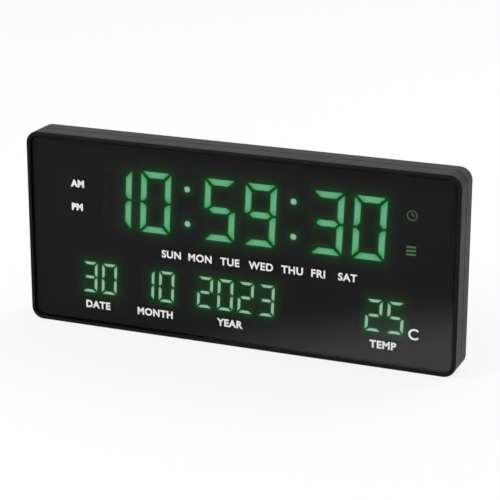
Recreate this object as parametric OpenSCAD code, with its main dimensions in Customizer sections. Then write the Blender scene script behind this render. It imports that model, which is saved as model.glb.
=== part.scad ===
// Digital wall clock: a black case with a smoked lens over green seven-segment rows for time and date.
// Millimetres, +Z up, front facing -Y, origin at the bottom centre of the case.

/* [Case] */
// Width of the face
face_w = 360; // [352:1:384]
// Height of the face
face_h = 158; // [154:1:170]
// Depth from the rim to the wall side
case_depth = 30; // [29:0.5:34]
// Depth of the front frame, up to the parting line
frame_depth = 15; // [14.5:0.1:15.5]
// Radius of the four corners of the face
corner_r = 10; // [9:0.5:12]
// Thickness of the side walls
wall_t = 2.4; // [2:0.1:2.8]
// Thickness of the rear wall
back_t = 2.2; // [2:0.1:2.6]
// Width of the rim around the lens
rim_w = 3.2; // [3:0.1:3.6]
// Radius of the rim's outer edge
front_edge_r = 1.4; // [0.8:0.1:1.8]
// Radius of the rear edge
back_edge_r = 2; // [1:0.1:2.2]
// Depth of the shadow groove at the parting line
seam_groove = 0.5; // [0.3:0.1:0.8]
// Height of the rear cover's lip inside the frame
lip_h = 3; // [2:0.1:3.4]
// Thickness of the rear cover's lip
lip_t = 1.6; // [1.2:0.1:1.6]
// Gap between parts that slide together
fit_gap = 0.2; // [0.15:0.01:0.25]

/* [Lens] */
// Depth of the lens below the rim
lens_recess = 0.4; // [0.2:0.1:0.8]
// Thickness of the lens
lens_t = 2; // [1.6:0.1:2.4]
// Thickness of the tape and of the mask film behind the lens
film_t = 0.3; // [0.2:0.05:0.4]
// Width of the ledge that carries the lens
ledge_w = 7.8; // [7.4:0.1:8]
// Thickness of the ledge
ledge_t = 1.6; // [1.4:0.1:2]
// Bare strip of ledge on each side of the tape
tape_edge = 1; // [0.8:0.1:1.5]

/* [Display] */
// Sideways lean of the digits for each millimetre of height
lean = 0.045; // [0:0.005:0.1]
// Depth of the reflector
reflector_t = 6.5; // [6:0.1:6.8]
// Gap between the reflector and the window in the ledge
reflector_edge = 1; // [0.8:0.1:1.4]
// Thickness of the light bars
bar_t = 2; // [1.5:0.1:2.5]
// Gap around each light bar
bar_gap = 0.15; // [0.1:0.01:0.2]
// Radius of the reflector's locating pegs
peg_r = 1.5; // [1.2:0.1:1.8]
// Distance of the pegs from the reflector's edges
peg_in = 4.5; // [4:0.1:5]
// Length of the pegs behind the circuit board
peg_end = 1; // [0.6:0.1:1.5]

/* [Time row] */
// Height of a time digit
time_h = 50.5; // [46:0.5:52]
// Width of a time digit
time_w = 26.4; // [25.5:0.1:29]
// Width of a light bar
time_stroke = 5.7; // [5:0.1:6.4]
// Gap between neighbouring light bars
time_split = 1.2; // [0.8:0.1:1.6]
// Cut across the outer corners
time_cut = 2.6; // [2.2:0.1:3]
// Spacing of the two digits of a pair
time_pitch = 33.8; // [33:0.1:34.4]
// Spacing of the pairs
pair_pitch = 88.4; // [86:0.1:90]
// Middle of the row, right of the face's middle
time_x = 3.7; // [0:0.1:6]
// Middle of the row, above the face's middle
time_up = 30.8; // [29:0.1:32]
// Radius of a colon's dots
dot_r = 2.8; // [2.2:0.1:3.2]
// Spacing of a colon's dots
dot_pitch = 28; // [24:0.5:30]

/* [Date row] */
// Height of a small digit
small_h = 26.4; // [24:0.2:28]
// Width of a small digit
small_w = 13.8; // [13:0.1:14.4]
// Width of a small light bar
small_stroke = 3; // [2.6:0.1:3.2]
// Gap between neighbouring small light bars
small_split = 0.7; // [0.6:0.05:0.9]
// Cut across the outer corners of small digits
small_cut = 1.5; // [1.3:0.1:1.8]
// Spacing of the small digits
small_pitch = 17.3; // [16.8:0.1:17.8]
// Middle of the row, below the face's middle
small_down = 37.8; // [36:0.1:39]
// Middle of the date digits, left of the face's middle
date_left = 118.3; // [114:0.1:120]
// Middle of the month digits, left of the face's middle
month_left = 67.9; // [64:0.1:70]
// Middle of the temperature digits, right of the face's middle
temp_right = 122.4; // [118:0.1:126]

/* [Indicators] */
// Distance of the indicators from the face's middle
indicator_right = 142; // [140:0.5:146]
// Spacing of the two indicators
indicator_pitch = 27.5; // [24:0.5:30]
// Radius of the round indicator
indicator_r = 4.5; // [4:0.1:5]
// Side of the square indicator
indicator_side = 8.6; // [8:0.1:9.4]
// Radius of the light sensor
sensor_r = 2.5; // [2:0.1:3]
// Height of the light sensor
sensor_h = 4; // [3:0.1:5]

/* [Circuit board] */
// Thickness of the circuit board
board_t = 1.6; // [1.4:0.1:1.8]
// Gap between the board's edge and the outside of the case
board_edge = 4.6; // [4.4:0.1:5]
// Gap between the board and the case screws' bosses
notch_gap = 1.5; // [1.4:0.1:2]
// Length of a diode behind a time bar
led_l = 3.4; // [2.8:0.1:4]
// Width of a diode behind a time bar
led_w = 2.8; // [2:0.1:3]
// Height of a diode behind a time bar
led_h = 1.4; // [1:0.1:2]
// Length of a diode behind a small bar
small_led_l = 2; // [1.6:0.1:2.2]
// Width of a diode behind a small bar
small_led_w = 1.3; // [1:0.1:1.6]
// Height of a diode behind a small bar
small_led_h = 0.9; // [0.6:0.1:1.2]
// Distance of the outer board screws from the face's middle
board_screw_x = 95; // [90:1:100]

/* [Chips] */
// Length of the controller chip
controller_l = 18; // [14:0.5:22]
// Width of the controller chip
controller_w = 7.6; // [6:0.1:9]
// Thickness of the controller chip
controller_t = 2.4; // [1.8:0.1:3]
// Distance of the controller chip from the face's middle
controller_right = 28; // [24:0.5:32]
// Height of the controller chip, below the face's middle
controller_down = 16; // [14:0.5:20]
// Length of a driver chip
driver_l = 10; // [8:0.5:14]
// Width of a driver chip
driver_w = 4; // [3.5:0.1:5]
// Thickness of a driver chip
driver_t = 1.6; // [1.2:0.1:2]
// Width of a chip's legs
leg_w = 0.5; // [0.4:0.05:0.7]
// Length of a chip's legs
leg_l = 1.4; // [1:0.1:2]
// Thickness of a chip's legs
leg_t = 0.3; // [0.2:0.05:0.4]
// Spacing of a chip's legs
leg_pitch = 1.27; // [1:0.01:1.4]
// Height of the driver chips, below the face's middle
driver_down = 40; // [36:0.5:44]
// Spacing of the driver chips
driver_pitch = 30; // [24:0.5:34]
// Length of the crystal
crystal_l = 11; // [9:0.5:12]
// Width of the crystal
crystal_w = 4.6; // [4:0.1:5]
// Height of the crystal
crystal_h = 3.5; // [3:0.1:5]
// Distance of the crystal from the face's middle
crystal_right = 48; // [46:0.5:50]
// Height of the crystal, below the face's middle
crystal_down = 4; // [2:0.5:6]
// Radius of a capacitor
capacitor_r = 3.2; // [2.5:0.1:4]
// Height of a capacitor
capacitor_h = 7; // [5:0.1:8]
// Distance of the first capacitor from the face's middle
capacitor_right = 92; // [88:0.5:96]
// Height of the capacitors, below the face's middle
capacitor_down = 14; // [10:0.5:18]
// Spacing of the capacitors
capacitor_pitch = 10; // [9:0.5:12]
// Number of resistors
resistor_count = 14; // [7:1:16]
// Spacing of the resistors
resistor_pitch = 6; // [5:0.5:6]
// Width of a resistor
resistor_w = 1.3; // [1:0.1:2]
// Length of a resistor
resistor_l = 2; // [1.6:0.1:3]
// Thickness of a resistor
resistor_t = 0.6; // [0.4:0.1:0.8]
// Height of the resistors, below the face's middle
resistor_down = 52; // [50:0.5:54]

/* [Buzzer and thermistor] */
// Radius of the buzzer
buzzer_r = 6; // [5:0.5:7]
// Height of the buzzer
buzzer_h = 8.5; // [6:0.5:9.5]
// Radius of the buzzer's sound hole
buzzer_hole_r = 1.2; // [0.8:0.1:2]
// Distance of the buzzer from the face's middle
buzzer_right = 128; // [124:0.5:132]
// Height of the buzzer, below the face's middle
buzzer_down = 4; // [0:0.5:8]
// Radius of the thermistor's bead
bead_r = 1.6; // [1.2:0.1:2]
// Radius of the thermistor's wires
bead_wire_r = 0.25; // [0.2:0.05:0.4]
// Spacing of the thermistor's wires
bead_wire_pitch = 1.6; // [1:0.1:1.8]
// Height of the bead above the circuit board
bead_rise = 11; // [8:0.5:13]
// Distance of the thermistor from the face's middle
bead_left = 112; // [108:0.5:116]
// Height of the thermistor, below the face's middle
bead_down = 54; // [52:0.5:55]

/* [Keys] */
// Spacing of the keys
key_pitch = 22; // [18:0.5:24]
// Height of the keys above the face's middle
key_up = 27; // [24:0.5:32]
// Radius of a key
key_r = 4; // [3.5:0.1:4.5]
// Radius of a key's flange behind the rear wall
key_flange_r = 5.2; // [5:0.1:6]
// Thickness of a key's flange
key_flange_t = 1.2; // [1:0.1:1.6]
// Radius of a key's stem
key_stem_r = 2.2; // [2:0.1:2.6]
// Depth of the dished top of a key
key_dish = 0.3; // [0.2:0.05:0.5]
// Distance of a key's top below the wall side
key_below = 0.5; // [0.3:0.1:0.8]
// Depth of the well around the keys
well_depth = 1.5; // [1.2:0.1:1.8]
// Height of the well around the keys
well_h = 16; // [14:0.5:18]
// Length of the well past the outer keys
well_end = 9; // [8:0.5:11]
// Side of a switch body
switch_side = 6; // [5.8:0.1:6.4]
// Height of a switch body
switch_h = 3.6; // [3.2:0.1:4]
// Radius of a switch plunger
plunger_r = 1.7; // [1.5:0.05:1.8]
// Height of a plunger's top above the circuit board
plunger_top = 9.5; // [8:0.1:11]
// Length of the plunger inside the switch
plunger_in = 0.8; // [0.6:0.1:1]
// Travel of a key
key_travel = 0.5; // [0.3:0.1:0.6]

/* [Coin cell] */
// Radius of the coin cell
coin_r = 10; // [10:0.1:10.4]
// Thickness of the coin cell
coin_t = 3.2; // [2.6:0.1:3.2]
// Distance of the coin cell from the face's middle
coin_left = 70; // [66:0.5:74]
// Height of the coin cell, below the face's middle
coin_down = 20; // [16:0.5:24]
// Radius of the twist cover
cover_r = 14; // [13.8:0.1:14.6]
// Reach of the twist cover's lugs
lug_r = 16; // [15.8:0.1:16.4]
// Width of the lugs
lug_w = 8; // [6:0.5:9]
// Thickness of the lugs
lug_t = 1.2; // [1:0.1:1.4]
// Turn of the twist cover from shut to free
twist_deg = 60; // [50:5:75]
// Thickness of the twist cover's skirt
skirt_t = 1.4; // [1.2:0.1:1.5]
// Length of the twist cover's skirt
skirt_h = 2.6; // [2.4:0.1:3]
// Length of the slot for turning the cover
turn_slot_l = 15; // [12:0.5:18]
// Width of the slot for turning the cover
turn_slot_w = 1.8; // [1.4:0.1:2.2]
// Depth of the slot for turning the cover
turn_slot_depth = 1.1; // [0.8:0.1:1.3]
// Thickness of the cup around the coin cell
cup_t = 1.4; // [1.2:0.1:1.6]
// Radius of the lower contact
contact_r = 5; // [4:0.5:6]
// Thickness of the contacts' metal
contact_t = 0.3; // [0.2:0.05:0.4]
// Height of the lower contact under the cell
contact_rise = 0.8; // [0.6:0.1:1]
// Width of the side contact
clip_w = 4; // [3:0.5:5]
// Width of the contacts' tails
tail_w = 2; // [1.6:0.1:2.4]
// Length of the contacts' tails behind the cup
tail_l = 1.5; // [1:0.1:2]
// Radius of a lead
lead_r = 0.7; // [0.5:0.05:0.9]

/* [Power inlet] */
// Distance of the plug bay from the face's middle
bay_right = 70; // [66:0.5:74]
// Width of the plug bay
bay_w = 16; // [14:0.5:18]
// Height of the plug bay
bay_h = 40; // [36:0.5:42]
// Thickness of the bay's walls
bay_t = 1.6; // [1.4:0.1:1.8]
// Distance of the inlet's axis from the bay's floor
inlet_rise = 5; // [4.8:0.1:5.2]
// Radius of the inlet's barrel
inlet_r = 4; // [3.8:0.1:4.2]
// Radius of the inlet's flange
inlet_flange_r = 4.8; // [4.6:0.1:4.9]
// Thickness of the inlet's flange
inlet_flange_t = 1.2; // [1:0.1:1.6]
// Length of the inlet behind the bay
inlet_l = 11; // [9:0.5:12]
// Radius of the socket
socket_r = 3.1; // [2.8:0.05:3.2]
// Depth of the socket
socket_l = 9.2; // [8:0.1:9.6]
// Radius of the socket's centre pin
pin_r = 1; // [0.8:0.05:1.2]
// Distance of the pin's end inside the mouth
pin_in = 1.5; // [1:0.1:2]
// Width across the corners of the inlet's nut
nut_w = 11; // [10.5:0.1:11.2]
// Thickness of the inlet's nut
nut_t = 2.2; // [1.8:0.1:2.6]
// Width of the inlet's tabs
tab_w = 2.2; // [1.8:0.1:2.6]
// Thickness of the inlet's tabs
tab_t = 0.4; // [0.3:0.05:0.6]
// Length of the inlet's tabs
tab_l = 5; // [4:0.1:6]
// Spacing of the inlet's tabs
tab_pitch = 4; // [3.4:0.1:4.4]

/* [Wall mounting] */
// Spacing of the two keyholes
keyhole_pitch = 200; // [180:1:220]
// Height of the keyholes' round entry above the face's middle
keyhole_up = 38; // [34:0.5:42]
// Radius of the round entry
entry_r = 4.5; // [4.2:0.1:5]
// Half width of the slot
slot_r = 2.2; // [2:0.1:2.4]
// Length of the slot from the entry to the seat
slot_l = 9; // [8:0.5:10]
// Gap around the keyhole inside its pocket
pocket_edge = 3; // [2:0.5:4]
// Depth of the pocket behind the rear wall
pocket_depth = 4.5; // [4:0.1:5]
// Thickness of the pocket's walls
pocket_t = 1.4; // [1.2:0.1:1.6]

/* [Vents] */
// Width of a vent slot
vent_w = 2.2; // [1.6:0.1:2.6]
// Height of a vent slot
vent_h = 12; // [8:0.5:13]
// Spacing of the vent slots
vent_pitch = 7; // [5:0.5:8]
// Number of slots in the upper row
vent_count = 11; // [5:2:13]
// Number of slots beside the thermistor
sensor_vent_count = 5; // [3:2:7]
// Height of the upper row above the face's middle
vent_up = 55; // [53:0.5:57]
// Radius of a sound hole
sound_r = 0.9; // [0.7:0.1:1.2]
// Radius of the ring of sound holes
sound_ring_r = 4; // [3:0.5:5]
// Number of sound holes in the ring
sound_count = 8; // [6:1:10]

/* [Screws] */
// Radius of a screw boss
boss_r = 3.6; // [3.4:0.1:3.8]
// Radius of the rear cover's screw columns
column_r = 4.6; // [4.4:0.1:4.8]
// Radius of a case screw
screw_r = 1.45; // [1.3:0.05:1.6]
// Length of a case screw in its boss
screw_l = 9; // [7:0.5:9.5]
// Radius of a case screw's head
head_r = 2.8; // [2.4:0.1:2.9]
// Height of a case screw's head
head_h = 2; // [1.6:0.1:2.4]
// Thickness under a case screw's head
seat_t = 2.2; // [2:0.1:2.8]
// Gap around a case screw's head
head_gap = 0.4; // [0.3:0.05:0.5]
// Radius of a board screw
board_screw_r = 1.1; // [0.9:0.05:1.2]
// Length of a board screw in its boss
board_screw_l = 4; // [3:0.1:4.2]
// Radius of a board screw's head
board_head_r = 2.2; // [1.8:0.1:2.4]
// Height of a board screw's head
board_head_h = 1.4; // [1:0.1:1.6]
// Gap between a screw and the hole it is driven into
thread_gap = 0.05; // [0.04:0.01:0.08]
// Width of a cross recess
cross_w = 0.8; // [0.6:0.1:1]

/* [Hidden] */
$fn = 64;
cut_past = 1;
mid_z = face_h / 2;
front_y = -case_depth / 2;
back_y = case_depth / 2;
seam_y = front_y + frame_depth;
lens_y = front_y + lens_recess;
film_y = lens_y + lens_t;
ledge_y = film_y + film_t;
ledge_back = ledge_y + ledge_t;
reflector_y = ledge_y;
board_y = reflector_y + reflector_t;
board_back = board_y + board_t;
rear_y = back_y - back_t;
window_w = face_w - 2 * (rim_w + ledge_w);
window_h = face_h - 2 * (rim_w + ledge_w);
reflector_w = window_w - 2 * reflector_edge;
reflector_h = window_h - 2 * reflector_edge;
lens_in = rim_w + fit_gap;
time_z = mid_z + time_up;
small_z = mid_z - small_down;
time_digit = [time_w, time_h, time_stroke, time_split, time_cut];
small_digit = [small_w, small_h, small_stroke, small_split, small_cut];
time_led = [led_l, led_w, led_h];
small_led = [small_led_l, small_led_w, small_led_h];
controller_size = [controller_l, controller_w, controller_t];
driver_size = [driver_l, driver_w, driver_t];
controller_z = mid_z - controller_down;
crystal_z = mid_z - crystal_down;
capacitor_z = mid_z - capacitor_down;
capacitor_xs = [capacitor_right, capacitor_right + capacitor_pitch];
buzzer_z = mid_z - buzzer_down;
bead_z = mid_z - bead_down;
hour_x = time_x - pair_pitch;
second_x = time_x + pair_pitch;
colon_xs = [time_x - pair_pitch / 2, time_x + pair_pitch / 2];
colon_zs = [time_z - dot_pitch / 2, time_z + dot_pitch / 2];
indicator_z = time_z + indicator_pitch / 2;
lower_indicator_z = time_z - indicator_pitch / 2;
peg_x = reflector_w / 2 - peg_in;
peg_z = reflector_h / 2 - peg_in;
key_xs = [-1.5 * key_pitch, -0.5 * key_pitch, 0.5 * key_pitch, 1.5 * key_pitch];
key_z = mid_z + key_up;
well_y = back_y - well_depth;
well_back = well_y - back_t;
well_w = 3 * key_pitch + 2 * well_end;
key_top = back_y - key_below;
plunger_y = board_back + plunger_top;
switch_y = board_back + switch_h;
coin_x = -coin_left;
coin_z = mid_z - coin_down;
skirt_y = rear_y - skirt_h;
skirt_r = cover_r - fit_gap * 2;
ring_r = skirt_r - skirt_t - fit_gap;
coin_y = rear_y - fit_gap - coin_t;
cup_floor = coin_y - contact_rise;
cup_r = lug_r + 2 * fit_gap;
clip_x = coin_r + fit_gap / 4;
tail_x = skirt_r;
tail_y = cup_floor - cup_t - tail_l;
bay_floor = seam_y + fit_gap + bay_t;
inlet_y = bay_floor + inlet_rise;
inlet_z = bay_h;
inlet_top = inlet_z + bay_t + inlet_l;
lead_z = inlet_top + tab_l / 2;
keyhole_z = mid_z + keyhole_up;
pocket_y = rear_y - pocket_depth;
seat_y = seam_y + seat_t;
sound_xs = [for (i = [0 : sound_count - 1]) sound_ring_r * cos(360 * i / sound_count)];
sound_zs = [for (i = [0 : sound_count - 1]) sound_ring_r * sin(360 * i / sound_count)];
// The bosses stand clear of the rear cover's lip, along the sides and in the rounded corners
boss_in = wall_t + fit_gap + lip_t + fit_gap + boss_r;
corner_in = corner_r - (corner_r - boss_in) / sqrt(2);
side_x = face_w / 2 - boss_in;
corner_x = face_w / 2 - corner_in;
case_screw_at = [
  [-corner_x, corner_in], [0, boss_in], [corner_x, corner_in],
  [-corner_x, face_h - corner_in], [0, face_h - boss_in], [corner_x, face_h - corner_in]
];
board_screw_at = [
  [-side_x, mid_z], [side_x, mid_z],
  [-board_screw_x, boss_in], [board_screw_x, boss_in],
  [-board_screw_x, face_h - boss_in], [board_screw_x, face_h - boss_in]
];

// Flat shapes are drawn in X and Z and made solid from one depth to another
module slab(from_y, to_y) {
  translate([0, to_y, 0])
    rotate([90, 0, 0])
      linear_extrude(to_y - from_y)
        children();
}

// A round bar along Y
module post(x, z, from_y, to_y, r) {
  translate([x, to_y, z])
    rotate([90, 0, 0])
      cylinder(h = to_y - from_y, r = r);
}

module rounded(w, h, r) {
  square([w - 2 * r, h], center = true);
  square([w, h - 2 * r], center = true);
  for (x = [-1, 1], z = [-1, 1])
    translate([x * (w / 2 - r), z * (h / 2 - r)])
      circle(r);
}

// The outline of the face, drawn in by a distance
module outline(in) {
  translate([0, mid_z])
    rounded(face_w - 2 * in, face_h - 2 * in, corner_r - in);
}

// Carries a wall section around the outline: X is 0 on the outside and negative inwards, Y runs to the front
module around_outline() {
  side_w = face_w - 2 * corner_r;
  side_h = face_h - 2 * corner_r;
  translate([0, 0, mid_z])
    rotate([90, 0, 0])
      for (turn = [0, 180])
        rotate([0, 0, turn]) {
          translate([face_w / 2, side_h / 2, 0])
            rotate([90, 0, 0])
              linear_extrude(side_h)
                children();
          translate([side_w / 2, side_h / 2, 0])
            rotate_extrude(angle = 90)
              translate([corner_r, 0])
                children();
          rotate([0, 0, 90])
            translate([face_h / 2, side_w / 2, 0])
              rotate([90, 0, 0])
                linear_extrude(side_w)
                  children();
          translate([-side_w / 2, side_h / 2, 0])
            rotate([0, 0, 90])
              rotate_extrude(angle = 90)
                translate([corner_r, 0])
                  children();
        }
}

// What a rounded edge takes off a square corner
module edge_cut(r) {
  difference() {
    square(r + cut_past);
    circle(r);
  }
}

module slot(length, half_w) {
  translate([-half_w, 0])
    square([2 * half_w, length]);
  circle(half_w);
  translate([0, length])
    circle(half_w);
}

// The seven light bars of a digit, for its width, height, stroke, split and corner cut
function top_bar(w, h, t, split, cut) = [
  [-w + cut, h], [w - cut, h], [w - (cut + split) / 2, h - (cut - split) / 2],
  [w - t - split, h - t], [-w + t + split, h - t], [-w + (cut + split) / 2, h - (cut - split) / 2]
];
function side_bar(w, h, t, split, cut) = [
  [-w, h - cut], [-w + (cut - split) / 2, h - (cut + split) / 2], [-w + t, h - t - split],
  [-w + t, (t + split) / 2], [-w + t / 2, split / 2], [-w, split / 2]
];
function middle_bar(w, t, split) = [
  [-w + t / 2 + split, 0], [-w + t + split, t / 2], [w - t - split, t / 2],
  [w - t / 2 - split, 0], [w - t - split, -t / 2], [-w + t + split, -t / 2]
];
function turned(bar, x, z) = [for (p = bar) [x * p[0] + lean * z * p[1], z * p[1]]];
function bars(d) =
  let (w = d[0] / 2, h = d[1] / 2)
  let (top = top_bar(w, h, d[2], d[3], d[4]), side = side_bar(w, h, d[2], d[3], d[4]))
  [
    turned(top, 1, 1), turned(side, -1, 1), turned(side, -1, -1), turned(top, 1, -1),
    turned(side, 1, -1), turned(side, 1, 1), turned(middle_bar(w, d[2], d[3]), 1, 1)
  ];
function bar_middles(d) =
  let (x = (d[0] - d[2]) / 2, h = d[1] / 2, z = (d[1] - d[2]) / 2)
  [[0, z], [x, h / 2], [x, -h / 2], [0, -z], [-x, -h / 2], [-x, h / 2], [0, 0]];
function shrunk(d, gap) = [
  d[0] - 2 * gap, d[1] - 2 * gap, d[2] - 2 * gap, d[3] + sqrt(2) * gap, d[4] - (2 - sqrt(2)) * gap
];
function digit_xs(middle, count, pitch) = [for (i = [0 : count - 1]) middle + (i - (count - 1) / 2) * pitch];

time_xs = [
  each digit_xs(hour_x, 2, time_pitch), each digit_xs(time_x, 2, time_pitch),
  each digit_xs(second_x, 2, time_pitch)
];
small_xs = [
  each digit_xs(-date_left, 2, small_pitch), each digit_xs(-month_left, 2, small_pitch),
  each digit_xs(0, 4, small_pitch), each digit_xs(temp_right, 2, small_pitch)
];

// Openings for the light, in the mask film and the reflector
module light_windows() {
  for (x = time_xs, bar = bars(time_digit))
    translate([x, time_z])
      polygon(bar);
  for (x = small_xs, bar = bars(small_digit))
    translate([x, small_z])
      polygon(bar);
  for (x = colon_xs, z = colon_zs)
    translate([x, z])
      circle(dot_r);
  translate([indicator_right, indicator_z])
    circle(indicator_r);
  translate([indicator_right, lower_indicator_z])
    square(indicator_side, center = true);
  translate([indicator_right, mid_z])
    circle(sensor_r + bar_gap);
}

module reflector_outline() {
  translate([0, mid_z])
    square([reflector_w, reflector_h], center = true);
}

module peg_places() {
  for (x = [-peg_x, peg_x], z = [mid_z - peg_z, mid_z + peg_z])
    translate([x, z])
      children();
}

// Light bars of the digits at the given places, one solid for each bar
module light_bars(xs, z, d) {
  for (x = xs, bar = bars(shrunk(d, bar_gap)))
    slab(reflector_y, reflector_y + bar_t)
      translate([x, z])
        polygon(bar);
}

// A cross recess in a screw head whose outer face lies at a depth
module cross_recess(x, z, top_y, r, depth) {
  slab(top_y - depth, top_y + cut_past)
    translate([x, z]) {
      square([2 * r, cross_w], center = true);
      square([cross_w, 2 * r], center = true);
    }
}

module screw(x, z, seat, length, r, top_r, top_h) {
  difference() {
    union() {
      post(x, z, seat - length, seat + top_h / 2, r);
      post(x, z, seat, seat + top_h, top_r);
    }
    cross_recess(x, z, seat + top_h, top_r / 2, top_h / 2);
  }
}

// A chip with legs along its long sides, lying on the back of the circuit board
module chip(x, z, size) {
  legs = floor(size[0] / leg_pitch) - 1;
  slab(board_back + leg_t, board_back + size[2])
    translate([x, z])
      square([size[0], size[1]], center = true);
  for (i = [0 : legs - 1])
    slab(board_back, board_back + 2 * leg_t)
      translate([x + (i - (legs - 1) / 2) * leg_pitch, z])
        square([leg_w, size[1] + 2 * leg_l], center = true);
}

module front_frame() {
  color([0.03, 0.03, 0.03])
    difference() {
      union() {
        around_outline()
          difference() {
            union() {
              translate([-wall_t, -seam_y])
                square([wall_t, seam_y - front_y]);
              translate([-rim_w, -ledge_back])
                square([rim_w, ledge_back - front_y]);
            }
            translate([-front_edge_r, -front_y - front_edge_r])
              edge_cut(front_edge_r);
            translate([0, -seam_y])
              rotate(45)
                square(seam_groove * sqrt(2), center = true);
          }
        slab(ledge_y, ledge_back)
          difference() {
            outline(wall_t);
            translate([0, mid_z])
              square([window_w, window_h], center = true);
          }
        for (p = case_screw_at)
          post(p[0], p[1], ledge_y, seam_y, boss_r);
        for (p = board_screw_at)
          post(p[0], p[1], ledge_y, board_y, boss_r);
      }
      for (p = case_screw_at)
        post(p[0], p[1], seam_y - screw_l - thread_gap, seam_y + cut_past, screw_r + thread_gap);
      for (p = board_screw_at)
        post(p[0], p[1], board_y - board_screw_l, board_y + cut_past, board_screw_r + thread_gap);
    }
}

module front_lens() {
  color([0.1, 0.1, 0.1, 0.5])
    slab(lens_y, film_y)
      outline(lens_in);
}

module lens_tape() {
  color([0.08, 0.08, 0.08])
    slab(film_y, ledge_y)
      difference() {
        outline(lens_in + tape_edge);
        translate([0, mid_z])
          square([window_w + 2 * tape_edge, window_h + 2 * tape_edge], center = true);
      }
}

module mask_film() {
  color([0.02, 0.02, 0.02])
    slab(film_y, ledge_y)
      difference() {
        reflector_outline();
        light_windows();
      }
}

module reflector() {
  color([0.9, 0.9, 0.88]) {
    slab(reflector_y, board_y)
      difference() {
        reflector_outline();
        light_windows();
      }
    slab(board_y - bar_t, board_back + peg_end)
      peg_places()
        circle(peg_r);
  }
}

module hour_bars() {
  color([0.35, 0.8, 0.5])
    light_bars(digit_xs(hour_x, 2, time_pitch), time_z, time_digit);
}

module minute_bars() {
  color([0.35, 0.8, 0.5])
    light_bars(digit_xs(time_x, 2, time_pitch), time_z, time_digit);
}

module second_bars() {
  color([0.35, 0.8, 0.5])
    light_bars(digit_xs(second_x, 2, time_pitch), time_z, time_digit);
}

module colon_dots() {
  color([0.35, 0.8, 0.5])
    for (x = colon_xs, z = colon_zs)
      post(x, z, reflector_y, reflector_y + bar_t, dot_r - bar_gap);
}

module date_bars() {
  color([0.4, 0.8, 0.55])
    light_bars(digit_xs(-date_left, 2, small_pitch), small_z, small_digit);
}

module month_bars() {
  color([0.4, 0.8, 0.55])
    light_bars(digit_xs(-month_left, 2, small_pitch), small_z, small_digit);
}

module year_bars() {
  color([0.4, 0.8, 0.55])
    light_bars(digit_xs(0, 4, small_pitch), small_z, small_digit);
}

module temperature_bars() {
  color([0.4, 0.8, 0.55])
    light_bars(digit_xs(temp_right, 2, small_pitch), small_z, small_digit);
}

module indicator_windows() {
  color([0.2, 0.35, 0.25]) {
    post(indicator_right, indicator_z, reflector_y, reflector_y + bar_t, indicator_r - bar_gap);
    slab(reflector_y, reflector_y + bar_t)
      translate([indicator_right, lower_indicator_z])
        square(indicator_side - 2 * bar_gap, center = true);
  }
}

module circuit_board() {
  color([0.05, 0.3, 0.15])
    slab(board_y, board_back)
      difference() {
        translate([0, mid_z])
          square([face_w - 2 * board_edge, face_h - 2 * board_edge], center = true);
        for (p = case_screw_at)
          translate(p)
            square(2 * (boss_r + notch_gap), center = true);
        for (p = board_screw_at)
          translate(p)
            circle(board_screw_r + fit_gap);
        peg_places()
          circle(peg_r + thread_gap);
      }
}

// One diode on the front of the circuit board
module diode(x, z, size) {
  slab(board_y - size[2], board_y)
    translate([x, z])
      square([size[0], size[1]], center = true);
}

module diodes() {
  color([0.95, 0.92, 0.75]) {
    for (x = time_xs, p = bar_middles(time_digit))
      diode(x + p[0] + lean * p[1], time_z + p[1], time_led);
    for (x = small_xs, p = bar_middles(small_digit))
      diode(x + p[0] + lean * p[1], small_z + p[1], small_led);
    for (x = colon_xs, z = colon_zs)
      diode(x, z, time_led);
    for (z = [indicator_z, lower_indicator_z])
      diode(indicator_right, z, time_led);
  }
}

module controller_chip() {
  color([0.06, 0.06, 0.06])
    chip(controller_right, controller_z, controller_size);
}

module driver_chips() {
  color([0.06, 0.06, 0.06])
    for (x = digit_xs(0, 3, driver_pitch))
      chip(x, mid_z - driver_down, driver_size);
}

module crystal() {
  color([0.75, 0.76, 0.78])
    slab(board_back, board_back + crystal_h)
      translate([crystal_right, crystal_z])
        rounded(crystal_l, crystal_w, crystal_w / 3);
}

module capacitors() {
  color([0.12, 0.13, 0.2])
    for (x = capacitor_xs)
      post(x, capacitor_z, board_back, board_back + capacitor_h, capacitor_r);
}

module resistors() {
  color([0.1, 0.1, 0.1])
    for (x = digit_xs(0, resistor_count, resistor_pitch))
      slab(board_back, board_back + resistor_t)
        translate([x, mid_z - resistor_down])
          square([resistor_w, resistor_l], center = true);
}

module buzzer() {
  buzzer_y = board_back + buzzer_h;
  color([0.08, 0.08, 0.08])
    difference() {
      post(buzzer_right, buzzer_z, board_back, buzzer_y, buzzer_r);
      post(buzzer_right, buzzer_z, buzzer_y - buzzer_h / 2, buzzer_y + cut_past, buzzer_hole_r);
    }
}

module thermistor() {
  bead_y = board_back + bead_rise;
  color([0.15, 0.25, 0.55]) {
    for (x = [-bead_wire_pitch / 2, bead_wire_pitch / 2])
      post(x - bead_left, bead_z, board_back, bead_y, bead_wire_r);
    translate([-bead_left, bead_y, bead_z])
      sphere(bead_r);
  }
}

module light_sensor() {
  color([0.75, 0.35, 0.2])
    post(indicator_right, mid_z, board_y - sensor_h, board_y, sensor_r);
}

module switch_bodies() {
  color([0.1, 0.1, 0.1])
    for (x = key_xs)
      difference() {
        slab(board_back, switch_y)
          translate([x, key_z])
            square(switch_side, center = true);
        post(x, key_z, switch_y - plunger_in - 2 * key_travel, switch_y + cut_past, plunger_r + fit_gap);
      }
}

module plunger(x) {
  color([0.2, 0.2, 0.2])
    post(x, key_z, switch_y - plunger_in, plunger_y, plunger_r);
}

module set_plunger() {
  plunger(key_xs[0]);
}

module up_plunger() {
  plunger(key_xs[1]);
}

module down_plunger() {
  plunger(key_xs[2]);
}

module alarm_plunger() {
  plunger(key_xs[3]);
}

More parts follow.
